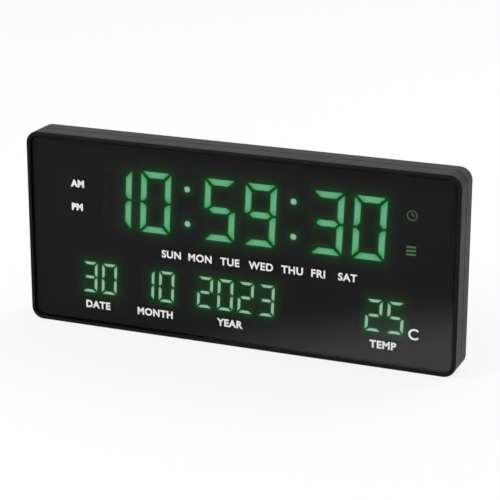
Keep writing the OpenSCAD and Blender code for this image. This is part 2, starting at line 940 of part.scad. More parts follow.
module key(x) {
  dish_r = (key_r * key_r + key_dish * key_dish) / (2 * key_dish);
  color([0.12, 0.12, 0.12])
    difference() {
      union() {
        post(x, key_z, plunger_y, well_back, key_stem_r);
        post(x, key_z, well_back - key_flange_t, well_back, key_flange_r);
        post(x, key_z, well_back - key_flange_t, key_top, key_r);
      }
      translate([x, key_top - key_dish / 2 + dish_r, key_z])
        sphere(dish_r);
    }
}

module set_key() {
  key(key_xs[0]);
}

module up_key() {
  key(key_xs[1]);
}

module down_key() {
  key(key_xs[2]);
}

module alarm_key() {
  key(key_xs[3]);
}

// The keyhole's outline, grown all round
module keyhole(grow) {
  circle(entry_r + grow);
  slot(slot_l, slot_r + grow);
}

// A box around a keyhole, grown all round
module keyhole_pocket(x, grow) {
  translate([x, keyhole_z + (slot_l + slot_r - entry_r) / 2])
    square([
      2 * (entry_r + pocket_edge + grow),
      entry_r + slot_l + slot_r + 2 * (pocket_edge + grow)
    ], center = true);
}

module vent_row(x, z, count) {
  for (i = [0 : count - 1])
    translate([x + (i - (count - 1) / 2) * vent_pitch, z - vent_h / 2 + vent_w / 2])
      slot(vent_h - vent_w, vent_w / 2);
}

// The cover's lugs, or the notches that let them through
module lug_pair(turn, w, reach) {
  translate([coin_x, coin_z])
    rotate(turn)
      square([2 * reach, w], center = true);
}

module rear_walls() {
  around_outline()
    difference() {
      union() {
        translate([-wall_t, -back_y])
          square([wall_t, back_y - seam_y]);
        translate([-wall_t - fit_gap - lip_t, -seam_y - lip_h])
          square([fit_gap + lip_t, lip_h]);
        translate([-wall_t - fit_gap - lip_t, -seam_y - lip_h])
          square([lip_t, 2 * lip_h]);
      }
      translate([-back_edge_r, -back_y + back_edge_r])
        mirror([0, 1])
          edge_cut(back_edge_r);
      translate([0, -seam_y])
        rotate(45)
          square(seam_groove * sqrt(2), center = true);
    }
  slab(rear_y, back_y)
    outline(wall_t);
}

module rear_cover() {
  color([0.04, 0.04, 0.04])
    difference() {
      union() {
        rear_walls();
        for (p = case_screw_at)
          post(p[0], p[1], seam_y, back_y, column_r);
        for (x = [-keyhole_pitch / 2, keyhole_pitch / 2])
          slab(pocket_y - pocket_t, back_y)
            keyhole_pocket(x, pocket_t);
        slab(well_back, back_y)
          translate([0, key_z])
            square([well_w + 2 * back_t, well_h + 2 * back_t], center = true);
        post(coin_x, coin_z, cup_floor - cup_t, back_y, cup_r + cup_t);
        slab(bay_floor - bay_t, back_y)
          translate([bay_right - bay_w / 2 - bay_t, wall_t])
            square([bay_w + 2 * bay_t, bay_h + bay_t - wall_t]);
      }
      for (p = case_screw_at) {
        post(p[0], p[1], seam_y - cut_past, back_y, screw_r + fit_gap);
        post(p[0], p[1], seat_y, back_y + cut_past, head_r + head_gap);
      }
      for (x = [-keyhole_pitch / 2, keyhole_pitch / 2]) {
        slab(pocket_y, rear_y)
          keyhole_pocket(x, 0);
        slab(pocket_y, back_y + cut_past)
          translate([x, keyhole_z])
            keyhole(0);
      }
      slab(well_y, back_y + cut_past)
        translate([0, key_z])
          rounded(well_w, well_h, well_h / 4);
      for (x = key_xs)
        post(x, key_z, well_back - cut_past, back_y, key_r + fit_gap);
      difference() {
        post(coin_x, coin_z, cup_floor, rear_y, cup_r);
        difference() {
          post(coin_x, coin_z, cup_floor - cup_t, skirt_y + coin_t / 2, ring_r);
          post(coin_x, coin_z, cup_floor - cup_t, back_y, coin_r + 2 * fit_gap);
          translate([coin_x, cup_floor - cup_t, coin_z - clip_w / 2 - fit_gap])
            cube([cup_r, back_y, clip_w + 2 * fit_gap]);
        }
      }
      post(coin_x, coin_z, rear_y - cut_past, back_y + cut_past, cover_r + fit_gap);
      slab(rear_y - cut_past, back_y + cut_past)
        lug_pair(-twist_deg, lug_w + 2 * fit_gap, lug_r + fit_gap);
      for (x = [coin_x, coin_x + tail_x])
        slab(cup_floor - cup_t - cut_past, cup_floor + cut_past)
          translate([x, coin_z])
            square([contact_t + 2 * fit_gap, tail_w + 2 * fit_gap], center = true);
      slab(bay_floor, back_y + cut_past)
        translate([bay_right - bay_w / 2, -cut_past])
          square([bay_w, bay_h + cut_past]);
      translate([bay_right, inlet_y, bay_h - cut_past])
        cylinder(h = bay_t + 2 * cut_past, r = inlet_r + fit_gap);
      slab(rear_y - cut_past, back_y + cut_past) {
        vent_row(0, mid_z + vent_up, vent_count);
        vent_row(-bead_left, bead_z, sensor_vent_count);
        translate([buzzer_right, buzzer_z]) {
          circle(sound_r);
          for (i = [0 : sound_count - 1])
            translate([sound_xs[i], sound_zs[i]])
              circle(sound_r);
        }
      }
    }
}

module coin_cell() {
  color([0.8, 0.8, 0.78])
    post(coin_x, coin_z, coin_y, coin_y + coin_t, coin_r);
}

module lower_contact() {
  color([0.85, 0.75, 0.45]) {
    post(coin_x, coin_z, cup_floor, cup_floor + contact_t, contact_r);
    for (turn = [60, 180, 300])
      post(coin_x + contact_r / 2 * cos(turn), coin_z + contact_r / 2 * sin(turn),
        cup_floor, coin_y, contact_r / 5);
    slab(tail_y, cup_floor + contact_t)
      translate([coin_x, coin_z])
        square([contact_t, tail_w], center = true);
  }
}

module side_contact() {
  color([0.85, 0.75, 0.45]) {
    translate([coin_x + clip_x, cup_floor, coin_z - clip_w / 2])
      cube([contact_t, contact_rise + coin_t / 2, clip_w]);
    translate([coin_x + clip_x, cup_floor, coin_z - clip_w / 2])
      cube([tail_x - clip_x + contact_t / 2, contact_t, clip_w]);
    slab(tail_y, cup_floor + contact_t)
      translate([coin_x + tail_x, coin_z])
        square([contact_t, tail_w], center = true);
  }
}

module coin_leads() {
  color([0.6, 0.08, 0.06])
    for (x = [coin_x, coin_x + tail_x])
      post(x, coin_z, board_back, tail_y, lead_r);
}

module coin_cover() {
  color([0.05, 0.05, 0.05])
    difference() {
      union() {
        post(coin_x, coin_z, rear_y, back_y, cover_r);
        post(coin_x, coin_z, skirt_y, rear_y, skirt_r);
        intersection() {
          slab(rear_y - fit_gap - lug_t, rear_y - fit_gap)
            lug_pair(0, lug_w, lug_r);
          post(coin_x, coin_z, skirt_y, rear_y, lug_r);
        }
      }
      post(coin_x, coin_z, skirt_y - cut_past, rear_y, skirt_r - skirt_t);
      slab(back_y - turn_slot_depth, back_y + cut_past)
        translate([coin_x, coin_z])
          square([turn_slot_l, turn_slot_w], center = true);
    }
}

module power_inlet() {
  color([0.1, 0.1, 0.1])
    translate([bay_right, inlet_y, inlet_z]) {
      difference() {
        union() {
          translate([0, 0, -inlet_flange_t])
            cylinder(h = inlet_flange_t, r = inlet_flange_r);
          cylinder(h = bay_t + inlet_l, r = inlet_r);
        }
        translate([0, 0, -inlet_flange_t - cut_past])
          cylinder(h = socket_l + cut_past, r = socket_r);
      }
      translate([0, 0, pin_in - inlet_flange_t])
        cylinder(h = socket_l, r = pin_r);
      for (x = [-tab_pitch / 2, tab_pitch / 2])
        translate([x - tab_w / 2, -tab_t / 2, bay_t + inlet_l - cut_past])
          cube([tab_w, tab_t, tab_l + cut_past]);
    }
}

module inlet_nut() {
  color([0.75, 0.75, 0.75])
    translate([bay_right, inlet_y, inlet_z + bay_t])
      difference() {
        cylinder(h = nut_t, d = nut_w, $fn = 6);
        translate([0, 0, -cut_past])
          cylinder(h = nut_t + 2 * cut_past, r = inlet_r + thread_gap);
      }
}

module power_leads() {
  color([0.6, 0.08, 0.06])
    for (x = [-tab_pitch / 2, tab_pitch / 2])
      post(bay_right + x, lead_z, board_back, inlet_y - tab_t / 2, lead_r);
}

module case_screws() {
  color([0.2, 0.2, 0.21])
    for (p = case_screw_at)
      screw(p[0], p[1], seat_y, seat_t + screw_l, screw_r, head_r, head_h);
}

module board_screws() {
  length = board_t + board_screw_l - thread_gap;
  color([0.7, 0.7, 0.72])
    for (p = board_screw_at)
      screw(p[0], p[1], board_back, length, board_screw_r, board_head_r, board_head_h);
}

front_frame();
front_lens();
lens_tape();
mask_film();
reflector();
hour_bars();
minute_bars();
second_bars();
colon_dots();
date_bars();
month_bars();
year_bars();
temperature_bars();
indicator_windows();
circuit_board();
diodes();
controller_chip();
driver_chips();
crystal();
capacitors();
resistors();
buzzer();
thermistor();
light_sensor();
switch_bodies();
set_plunger();
up_plunger();
down_plunger();
alarm_plunger();
set_key();
up_key();
down_key();
alarm_key();
rear_cover();
coin_cell();
lower_contact();
side_contact();
coin_leads();
coin_cover();
power_inlet();
inlet_nut();
power_leads();
case_screws();
board_screws();
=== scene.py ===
# %% [markdown]
# A digital wall clock, dressed for its picture
#
# The clock is a flat black case. A smoked lens closes its front, and green light bars shine through the
# windows of a black mask behind the lens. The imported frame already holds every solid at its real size, so
# this lesson gives each solid its finish and models what the solids leave plain: bars that glow, printed
# words, threaded screws and diodes with their cups.

import math

import bmesh
import bpy
import numpy as np
from mathutils import Matrix, Vector
from mathutils.geometry import delaunay_2d_cdt


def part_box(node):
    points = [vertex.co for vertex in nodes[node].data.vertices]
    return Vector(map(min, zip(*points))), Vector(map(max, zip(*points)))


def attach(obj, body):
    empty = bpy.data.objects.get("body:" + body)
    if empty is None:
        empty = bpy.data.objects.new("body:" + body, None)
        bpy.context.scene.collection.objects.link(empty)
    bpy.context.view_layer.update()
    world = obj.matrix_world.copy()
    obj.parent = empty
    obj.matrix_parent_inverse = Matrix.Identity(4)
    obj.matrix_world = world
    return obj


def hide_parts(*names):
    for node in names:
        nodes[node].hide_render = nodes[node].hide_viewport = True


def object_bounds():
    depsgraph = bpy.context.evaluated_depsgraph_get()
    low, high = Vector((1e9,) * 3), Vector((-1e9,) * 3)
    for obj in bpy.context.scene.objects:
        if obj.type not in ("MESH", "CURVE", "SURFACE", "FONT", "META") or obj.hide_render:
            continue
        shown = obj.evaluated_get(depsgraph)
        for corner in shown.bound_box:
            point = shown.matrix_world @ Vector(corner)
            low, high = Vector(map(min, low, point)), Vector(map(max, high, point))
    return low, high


MM = 0.001

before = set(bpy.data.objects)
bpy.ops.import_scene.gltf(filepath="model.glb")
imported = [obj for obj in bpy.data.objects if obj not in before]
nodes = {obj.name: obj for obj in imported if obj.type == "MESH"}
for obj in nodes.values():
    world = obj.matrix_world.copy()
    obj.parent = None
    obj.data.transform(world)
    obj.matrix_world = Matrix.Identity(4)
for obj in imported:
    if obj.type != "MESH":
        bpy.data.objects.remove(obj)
cad_low, cad_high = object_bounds()
scene = bpy.context.scene
scene.view_settings.view_transform = "Standard"

# %% [markdown]
# The camera
#
# The clock is seen from its right side and a little from above. A long lens far away keeps the upper and
# lower edges nearly parallel, as in a catalogue picture. The camera is placed by two angles and a distance
# from the middle of the case, because those are what can be read off a picture. A small shift of the lens
# centres the clock.

# %% Camera
VIEW_AZIMUTH = math.radians(22.4)
VIEW_ELEVATION = math.radians(17.7)
LENS_MM = 135.4
SENSOR_MM = 36
CAMERA_DISTANCE = 1.47
CAMERA_SHIFT = (0.017, -0.008)


def make_camera():
    data = bpy.data.cameras.new("camera")
    data.lens = LENS_MM
    data.sensor_width = SENSOR_MM
    data.shift_x, data.shift_y = CAMERA_SHIFT
    camera = bpy.data.objects.new("camera", data)
    flat = math.cos(VIEW_ELEVATION)
    back = Vector((math.sin(VIEW_AZIMUTH) * flat, -math.cos(VIEW_AZIMUTH) * flat, math.sin(VIEW_ELEVATION)))
    camera.location = (cad_low + cad_high) / 2 + back * CAMERA_DISTANCE
    camera.rotation_euler = back.to_track_quat("Z", "Y").to_euler()
    scene.collection.objects.link(camera)
    scene.camera = camera
    return camera


camera = make_camera()
print("camera at", [round(v, 3) for v in camera.location])

# %% [markdown]
# Sums in a node tree
#
# Materials and geometry trees are both networks of nodes. Placing each node by hand hides the sum that it
# does, so a small class wraps one socket and lets Python's own operators add the Math nodes. Each operator
# also gets its reflected form, for a plain number on its left. Every other node comes from one method, which
# sets the node's settings first and then its sockets.

# %% A socket that can be used in sums


class Wire:
    """One socket of a node tree. Sums written with it add Math nodes."""

    def __init__(self, tree, socket=None):
        self.tree = tree
        self.socket = socket

    def node(self, kind, settings=None, sockets=None, out=0):
        """Adds a node: its settings, then values or links for its sockets. Returns one of its outputs."""
        made = self.tree.nodes.new(kind)
        for name, value in (settings or {}).items():
            if name == "stops":
                self.set_stops(made.color_ramp, value)
            else:
                setattr(made, name, value)
        for name, value in (sockets or {}).items():
            self.feed(made.inputs[name], value)
        return Wire(self.tree, made.outputs[out] if len(made.outputs) else None)

    def also(self, out):
        """Another output of the same node."""
        return Wire(self.tree, self.socket.node.outputs[out])

    def feed(self, socket, value):
        for each in value if isinstance(value, list) else [value]:
            if isinstance(each, Wire):
                self.tree.links.new(each.socket, socket)
            else:
                socket.default_value = each

    @staticmethod
    def set_stops(ramp, stops):
        while len(ramp.elements) < len(stops):
            ramp.elements.new(1.0)
        for element, (at, colour) in zip(ramp.elements, stops):
            element.position = at
            element.color = (*colour, 1.0)

    def parts(self):
        """X, Y and Z of a vector."""
        x = self.node("ShaderNodeSeparateXYZ", sockets={"Vector": self})
        return x, x.also("Y"), x.also("Z")

    def sum(self, operation, first, second):
        return self.node("ShaderNodeMath", {"operation": operation}, {0: first, 1: second})


OPERATORS = {"add": "ADD", "sub": "SUBTRACT", "mul": "MULTIPLY", "truediv": "DIVIDE"}
for word, operation in OPERATORS.items():
    setattr(Wire, f"__{word}__", lambda self, other, kind=operation: self.sum(kind, self, other))
    setattr(Wire, f"__r{word}__", lambda self, other, kind=operation: self.sum(kind, other, self))
print("a wire can", ", ".join(OPERATORS))

# %% [markdown]
# Light and floor
#
# A plain studio: a pale floor, an even white surround and two large soft lamps. The surround lights the
# clock at less than full strength, but a ray that comes straight from the camera, a mirror or a clear
# surface sees it as white. The floor does the same in part, so it stays pale and still keeps the shadow.

# %% Light and floor
AMBIENT = 0.78
FLOOR_GLOW = 0.8
FLOOR_WHITE = (0.92, 0.92, 0.92, 1)
FLOOR_SIDE = 24.0
LAMP_SIDE = 0.9
LAMPS = {"lamp_left": ((-1.1, -1.3, 1.3), 14), "lamp_behind": ((0.9, 1.2, 1.4), 8)}


def seen_straight(start):
    """1 where a ray from the camera, a mirror or a clear surface arrives, and 0 for stray light."""
    path = start.node("ShaderNodeLightPath", out="Is Camera Ray")
    glossy = path.sum("MAXIMUM", path, path.also("Is Glossy Ray"))
    return path.sum("MAXIMUM", glossy, path.also("Is Transmission Ray"))


def make_surround():
    world = bpy.data.worlds.new("surround")
    world.use_nodes = True
    scene.world = world
    start = Wire(world.node_tree)
    sky = world.node_tree.nodes["Background"].inputs
    sky["Color"].default_value = (1, 1, 1, 1)
    start.feed(sky["Strength"], AMBIENT + seen_straight(start) * (1 - AMBIENT))


def make_floor():
    mesh = bpy.data.meshes.new("floor")
    half = FLOOR_SIDE / 2
    corners = [(-half, -half, 0), (half, -half, 0), (half, half, 0), (-half, half, 0)]
    mesh.from_pydata(corners, [], [(0, 1, 2, 3)])
    material = bpy.data.materials.new("floor_white")
    material.use_nodes = True
    material.node_tree.nodes.clear()
    start = Wire(material.node_tree)
    matt = start.node("ShaderNodeBsdfDiffuse", sockets={"Color": FLOOR_WHITE})
    glow = start.node("ShaderNodeEmission", sockets={"Color": (1, 1, 1, 1), "Strength": 1.0})
    share = seen_straight(start) * FLOOR_GLOW
    mixed = start.node("ShaderNodeMixShader", sockets={0: share, 1: matt, 2: glow})
    start.node("ShaderNodeOutputMaterial", sockets={"Surface": mixed})
    mesh.materials.append(material)
    floor = bpy.data.objects.new("floor", mesh)
    scene.collection.objects.link(floor)


def make_lamp(name, place, watts):
    data = bpy.data.lights.new(name, "AREA")
    data.size = LAMP_SIDE
    data.energy = watts
    lamp = bpy.data.objects.new(name, data)
    lamp.location = place
    aim = (cad_low + cad_high) / 2 - Vector(place)
    lamp.rotation_euler = aim.to_track_quat("-Z", "Y").to_euler()
    scene.collection.objects.link(lamp)


make_surround()
make_floor()
for name, (place, watts) in LAMPS.items():
    make_lamp(name, place, watts)
print("lamps:", ", ".join(LAMPS))

# %% [markdown]
# Finishes
#
# Each finish is one Principled shader. Numbers that are the same all over the surface are set on the shader
# itself, and only what really changes from place to place is worked out by nodes: a little colour, the
# roughness and the height of the grain. Object coordinates are in metres, so a grain of so many
# millimetres is one over that size as a scale.

# %% A new finish and its grain


def new_finish(name, values):
    """A material with one Principled shader and its constant values. Returns it with the shader's sockets."""
    material = bpy.data.materials.new(f"{name}_finish")
    material.use_nodes = True
    shader = material.node_tree.nodes["Principled BSDF"].inputs
    for socket, value in values.items():
        shader[socket].default_value = value
    return material, Wire(material.node_tree), shader


def place_of(start):
    return start.node("ShaderNodeTexCoord", out="Object")


def noise(start, size_mm, detail=2.0, stretch=(1, 1, 1)):
    """Cloudy noise from 0 to 1 whose features have a size in millimetres, stretched along X, Y or Z."""
    place = start.node("ShaderNodeMapping", sockets={"Vector": place_of(start), "Scale": stretch})
    sockets = {"Vector": place, "Scale": 1 / (size_mm * MM), "Detail": detail}
    return start.node("ShaderNodeTexNoise", sockets=sockets)


def mixed_colour(start, share, first, second):
    sockets = {0: share, 6: (*first, 1), 7: (*second, 1)}
    return start.node("ShaderNodeMix", {"data_type": "RGBA"}, sockets, out=2)


def bumped(start, height, depth_mm, strength=1.0):
    sockets = {"Height": height, "Distance": depth_mm * MM, "Strength": strength}
    return start.node("ShaderNodeBump", sockets=sockets)


def shade(colour, factor):
    return tuple(min(1.0, c * factor) for c in colour)


def grey(level):
    return (level,) * 3


print("a grain of 0.35 mm has the scale", round(1 / (0.35 * MM)))

# %% [markdown]
# Moulded plastic
#
# The case, the keys and most small parts are moulded plastic. A mould is spark-eroded, so its plastic has a
# fine pebbled grain, and the polish varies slowly where the melt flowed. Two noises give both: a fine one
# for the grain's height and a broad one for the roughness. The colour follows both.

# %% Moulded plastic
FLOW_MM = 24.0
GRAIN_SHARE = 0.6
POLISH_SPREAD = 0.12
BUTTONS = ("set", "up", "down", "alarm")


def moulded_plastic(name, colour, roughness=0.5, shine=0.3, grain_mm=0.35, depth_mm=0.012, contrast=0.2):
    material, start, shader = new_finish(name, {"Specular IOR Level": shine})
    grain = noise(start, grain_mm)
    flow = noise(start, FLOW_MM, detail=4.0)
    share = (1 - GRAIN_SHARE) * flow + GRAIN_SHARE * grain
    dull, bright = shade(colour, 1 - contrast), shade(colour, 1 + contrast)
    start.feed(shader["Base Color"], mixed_colour(start, share, dull, bright))
    start.feed(shader["Roughness"], roughness - POLISH_SPREAD / 2 + POLISH_SPREAD * flow)
    start.feed(shader["Normal"], bumped(start, grain, depth_mm))
    return material


FRAME_BLACK = grey(0.006)
REAR_BLACK = (0.012, 0.012, 0.0125)
FRAME_GRAIN = {"grain_mm": 0.3, "depth_mm": 0.006}
REAR_GRAIN = {"grain_mm": 0.9, "depth_mm": 0.12, "contrast": 0.8}
COVER_GRAIN = {"grain_mm": 0.9, "depth_mm": 0.08, "contrast": 0.7}
finishes = {
    "front_frame": moulded_plastic("frame_black", FRAME_BLACK, 0.42, 0.08, **FRAME_GRAIN),
    "rear_cover": moulded_plastic("rear_black", REAR_BLACK, 0.5, 0.14, **REAR_GRAIN),
    "coin_cover": moulded_plastic("cover_black", shade(REAR_BLACK, 1.3), 0.45, 0.18, **COVER_GRAIN),
    "switch_bodies": moulded_plastic("switch_black", grey(0.02), 0.45),
    "power_inlet": moulded_plastic("inlet_black", (0.015, 0.015, 0.016), 0.4),
    "buzzer": moulded_plastic("buzzer_black", grey(0.018), 0.42),
}
key_grey = moulded_plastic("key_grey", (0.05, 0.05, 0.052), grain_mm=0.25, depth_mm=0.01)
plunger_black = moulded_plastic("plunger_black", grey(0.025), 0.4)
for button in BUTTONS:
    finishes[f"{button}_key"] = key_grey
    finishes[f"{button}_plunger"] = plunger_black
print("plastics:", len(finishes), "solids")

# %% [markdown]
# Reflector
#
# The reflector is moulded in white, so that every well throws its light forward. Its outer sides are sprayed
# black, or they would show past the edge of the mask. The tube of the light sensor is black too, or the
# sensor would see the light of the bars. Both are found by how near a point is to a side or to the tube.

# %% Reflector
SPRAY_REACH = 0.8 * MM
TUBE_REACH = 4.0 * MM


def middle_of(name):
    low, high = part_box(name)
    return (low + high) / 2


def sprayed_reflector():
    material, start, shader = new_finish("reflector_white", {"Specular IOR Level": 0.3})
    low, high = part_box("reflector")
    x, _, z = place_of(start).parts()
    across = start.sum("MINIMUM", x - low.x, high.x - x)
    upright = start.sum("MINIMUM", z - low.z, high.z - z)
    side = start.sum("LESS_THAN", start.sum("MINIMUM", across, upright), SPRAY_REACH)
    sensor = middle_of("light_sensor")
    right, up = x - sensor.x, z - sensor.z
    tube = start.sum("LESS_THAN", right * right + up * up, TUBE_REACH ** 2)
    sprayed = start.sum("MAXIMUM", side, tube)
    grain = noise(start, 0.4)
    start.feed(shader["Base Color"], mixed_colour(start, sprayed, (0.82, 0.82, 0.79), grey(0.01)))
    start.feed(shader["Roughness"], 0.35 + 0.15 * grain)
    start.feed(shader["Normal"], bumped(start, grain, 0.01))
    return material


finishes["reflector"] = sprayed_reflector()
print("tube of the light sensor at X", round(middle_of("light_sensor").x / MM, 1), "mm")

# %% [markdown]
# Metal, epoxy and wire
#
# Behind the display sits an ordinary circuit board. Its metal parts are drawn or plated, so their streaks run
# one way, and its chips are filled epoxy with a dull speckle. Parts of a family differ only in the sizes and
# colours of the same few noises, so one function makes each family.

# %% Metal, epoxy and wire
STREAK_MM = 0.4
STREAK_SPREAD = 0.16
STAIN_MM = 6.0
FLECK_EDGE, FLECK_TOP = 0.55, 0.2
FLECK_RISE = 0.06


def plated_metal(name, colour, roughness=0.3, stretch=(0.08, 1, 1)):
    material, start, shader = new_finish(name, {"Metallic": 1.0})
    streak = noise(start, STREAK_MM, detail=3.0, stretch=stretch)
    stain = noise(start, STAIN_MM)
    start.feed(shader["Base Color"], mixed_colour(start, stain, shade(colour, 0.86), colour))
    start.feed(shader["Roughness"], roughness - STREAK_SPREAD / 2 + STREAK_SPREAD * streak)
    start.feed(shader["Normal"], bumped(start, streak, 0.004))
    return material


def speckled(name, colour, fleck, fleck_mm, roughness, shine=0.4):
    """A dull filled resin, ceramic or foam: flecks of a second colour, each a little raised."""
    material, start, shader = new_finish(name, {"Specular IOR Level": shine})
    sockets = {"Vector": place_of(start), "Scale": 1 / (fleck_mm * MM)}
    cells = start.node("ShaderNodeTexVoronoi", sockets=sockets)
    spots = start.node("ShaderNodeMapRange", {"clamp": True}, {0: cells, 1: FLECK_EDGE, 2: FLECK_TOP})
    start.feed(shader["Base Color"], mixed_colour(start, spots, colour, fleck))
    start.feed(shader["Roughness"], roughness + 0.1 * cells)
    start.feed(shader["Normal"], bumped(start, spots, fleck_mm * FLECK_RISE))
    return material


finishes.update({
    "controller_chip": speckled("chip_black", (0.014, 0.014, 0.015), grey(0.05), 0.15, 0.55),
    "resistors": speckled("resistor_body", (0.02, 0.02, 0.022), grey(0.3), 0.2, 0.4),
    "thermistor": speckled("bead_epoxy", (0.03, 0.06, 0.22), (0.05, 0.1, 0.3), 0.3, 0.25),
    "light_sensor": speckled("sensor_ceramic", (0.03, 0.012, 0.008), (0.07, 0.05, 0.04), 0.35, 0.35),
    "capacitors": speckled("capacitor_can", (0.015, 0.017, 0.04), (0.03, 0.033, 0.07), 0.5, 0.35),
    "crystal": plated_metal("crystal_can", (0.72, 0.72, 0.73), 0.28),
    "coin_cell": plated_metal("cell_steel", (0.68, 0.68, 0.67), 0.24),
    "lower_contact": plated_metal("contact_metal", (0.75, 0.66, 0.42), 0.3),
    "inlet_nut": plated_metal("nut_metal", (0.7, 0.7, 0.69), 0.32, stretch=(1, 1, 0.1)),
    "coin_leads": moulded_plastic("lead_red", (0.32, 0.015, 0.012), 0.35, 0.4, grain_mm=0.6),
})
finishes["driver_chips"] = finishes["controller_chip"]
finishes["side_contact"] = finishes["lower_contact"]
finishes["power_leads"] = finishes["coin_leads"]
print("finishes so far:", len(finishes), "solids")

# %% [markdown]
# Circuit board
#
# The board is glass cloth under a green varnish. Copper tracks run under the varnish and show as paler lines
# with square turns. A cell pattern measured along X and Z alone has just such edges, and the same pattern
# lifts the varnish a little over the copper.

# %% Circuit board
TRACK_SPACING_MM = 5.0
TRACK_WIDTH = 0.09
TRACK_STRETCH = (1, 0.01, 0.6)


def board_varnish():
    material, start, shader = new_finish("board_green", {"Specular IOR Level": 0.45})
    flat = start.node("ShaderNodeMapping", sockets={"Vector": place_of(start), "Scale": TRACK_STRETCH})
    settings = {"distance": "MANHATTAN", "feature": "F2"}
    sockets = {"Vector": flat, "Scale": 1 / (TRACK_SPACING_MM * MM)}
    far = start.node("ShaderNodeTexVoronoi", settings, sockets)
    near = start.node("ShaderNodeTexVoronoi", {"distance": "MANHATTAN"}, sockets)
    track = start.sum("LESS_THAN", far - near, TRACK_WIDTH)
    weave = noise(start, 0.5)
    green = mixed_colour(start, track, (0.006, 0.075, 0.028), (0.02, 0.16, 0.06))
    start.feed(shader["Base Color"], green)
    start.feed(shader["Roughness"], 0.26 + 0.12 * weave)
    start.feed(shader["Normal"], bumped(start, track + 0.2 * weave, 0.03))
    return material


finishes["circuit_board"] = board_varnish()
print("copper tracks about", TRACK_SPACING_MM, "mm apart")

# %% [markdown]
# Reading the frame
#
# Nothing here is measured twice: the outlines of the light bars, the windows of the mask and the places of
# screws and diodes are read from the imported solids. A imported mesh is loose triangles, so a copy is merged
# first, and then split into its separate solids by walking from vertex to vertex.

# %% Reading the frame
SAME_PLACE = 1e-6
IN_PLANE = SAME_PLACE * 10


def merged(name):
    shape = bmesh.new()
    shape.from_mesh(nodes[name].data)
    bmesh.ops.remove_doubles(shape, verts=shape.verts, dist=SAME_PLACE)
    return shape


def solids_of(name):
    """The corner points of each separate solid of a node, as arrays, from left to right and top down."""
    shape = merged(name)
    left, found = set(shape.verts), []
    while left:
        reached = [left.pop()]
        for vert in reached:
            for edge in vert.link_edges:
                other = edge.other_vert(vert)
                if other in left:
                    left.remove(other)
                    reached.append(other)
        found.append(np.array([vert.co[:] for vert in reached]))
    shape.free()
    return sorted(found, key=lambda points: (round(points[:, 0].mean(), 4), -points[:, 2].mean()))


def front_outline(points):
    """The X and Z of a solid's front corners, in order round their middle. The solid is convex."""
    front = points[points[:, 1] < points[:, 1].min() + IN_PLANE][:, [0, 2]]
    middle = front.mean(axis=0)
    angle = np.arctan2(front[:, 1] - middle[1], front[:, 0] - middle[0])
    return front[np.argsort(angle)]


def add_piece(name, mesh, replaces=()):
    """Puts a finished mesh in the scene, riding on the case and standing for the named solids."""
    piece = bpy.data.objects.new(name, mesh)
    scene.collection.objects.link(piece)
    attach(piece, "case")
    if replaces:
        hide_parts(*replaces)


print("diodes found:", len(solids_of("diodes")))

# %% [markdown]
# What the display shows
#
# Every digit is seven light bars, and a number is the choice of bars that are lit. The clock shows half a
# minute before eleven on the thirtieth of October. A bar is known by its place in its digit: three lie
# across at the top, middle and bottom, and four stand at the sides.

# %% What the display shows
SHOWN = {
    "hour_bars": "10", "minute_bars": "59", "second_bars": "30", "date_bars": "30",
    "month_bars": "10", "year_bars": "2023", "temperature_bars": "25",
}
LIT_BARS = {
    "0": {"top", "bottom", "upper_left", "upper_right", "lower_left", "lower_right"},
    "1": {"upper_right", "lower_right"},
    "2": {"top", "upper_right", "middle", "lower_left", "bottom"},
    "3": {"top", "upper_right", "middle", "lower_right", "bottom"},
    "5": {"top", "upper_left", "middle", "lower_right", "bottom"},
    "9": {"top", "upper_left", "upper_right", "middle", "lower_right", "bottom"},
}
BAR_LEVELS = {"top": 0.4, "middle": 0.0, "bottom": -0.4}
LEVEL_REACH = 0.1


def bar_place(centre, digit_middle, digit_height):
    """The name of a bar from the place of its centre in its digit."""
    up = (centre[1] - digit_middle[1]) / digit_height
    for name, level in BAR_LEVELS.items():
        if abs(up - level) < LEVEL_REACH:
            return name
    side = "right" if centre[0] > digit_middle[0] else "left"
    return ("upper_" if up > 0 else "lower_") + side


def read_bars(name):
    """Each bar of a node as its outline and whether it is lit."""
    outlines = [front_outline(points) for points in solids_of(name)]
    number = SHOWN[name]
    low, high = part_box(name)
    height = high.z - low.z
    bars_each = len(outlines) // len(number)
    read = []
    for i, digit in enumerate(number):
        own = outlines[i * bars_each:(i + 1) * bars_each]
        corners = np.concatenate(own)
        middle = (corners.min(axis=0) + corners.max(axis=0)) / 2
        read += [(o, bar_place(o.mean(axis=0), middle, height) in LIT_BARS[digit]) for o in own]
    return read


display = {name: read_bars(name) for name in SHOWN}
display["colon_dots"] = [(front_outline(points), True) for points in solids_of("colon_dots")]
print({name: sum(lit for outline, lit in bars) for name, bars in display.items()}, "lit")

# %% [markdown]
# The halo of the light
#
# Light creeps a few millimetres sideways through lens and film, so every lit bar has a dark green halo, over
# the mask and over the bars that are off. Each point of those meshes stores a number called halo that falls
# with the distance to the nearest lit bar.

# %% The halo of the light
HALO_REACH = 2.4 * MM
HALO_GREEN = (0.0, 0.12, 0.014)


def distance_to(points, outline):
    """How far each point lies from an outline's edge."""
    nearest = np.full(len(points), np.inf)
    for a, b in zip(outline, np.roll(outline, -1, axis=0)):
        along = np.clip((points - a) @ (b - a) / ((b - a) @ (b - a)), 0, 1)
        nearest = np.minimum(nearest, np.hypot(*(points - a - along[:, None] * (b - a)).T))
    return nearest


def halo_at(points):
    """1 beside a lit bar, fading with distance."""
    nearest = np.full(len(points), np.inf)
    for bars in display.values():
        for outline, lit in bars:
            if lit:
                nearest = np.minimum(nearest, distance_to(points, outline))
    return np.exp(-nearest / HALO_REACH)


def store_halo(mesh):
    places = np.array([vert.co[:] for vert in mesh.vertices])
    mesh.attributes.new("halo", "FLOAT", "POINT").data.foreach_set("value", halo_at(places[:, [0, 2]]))


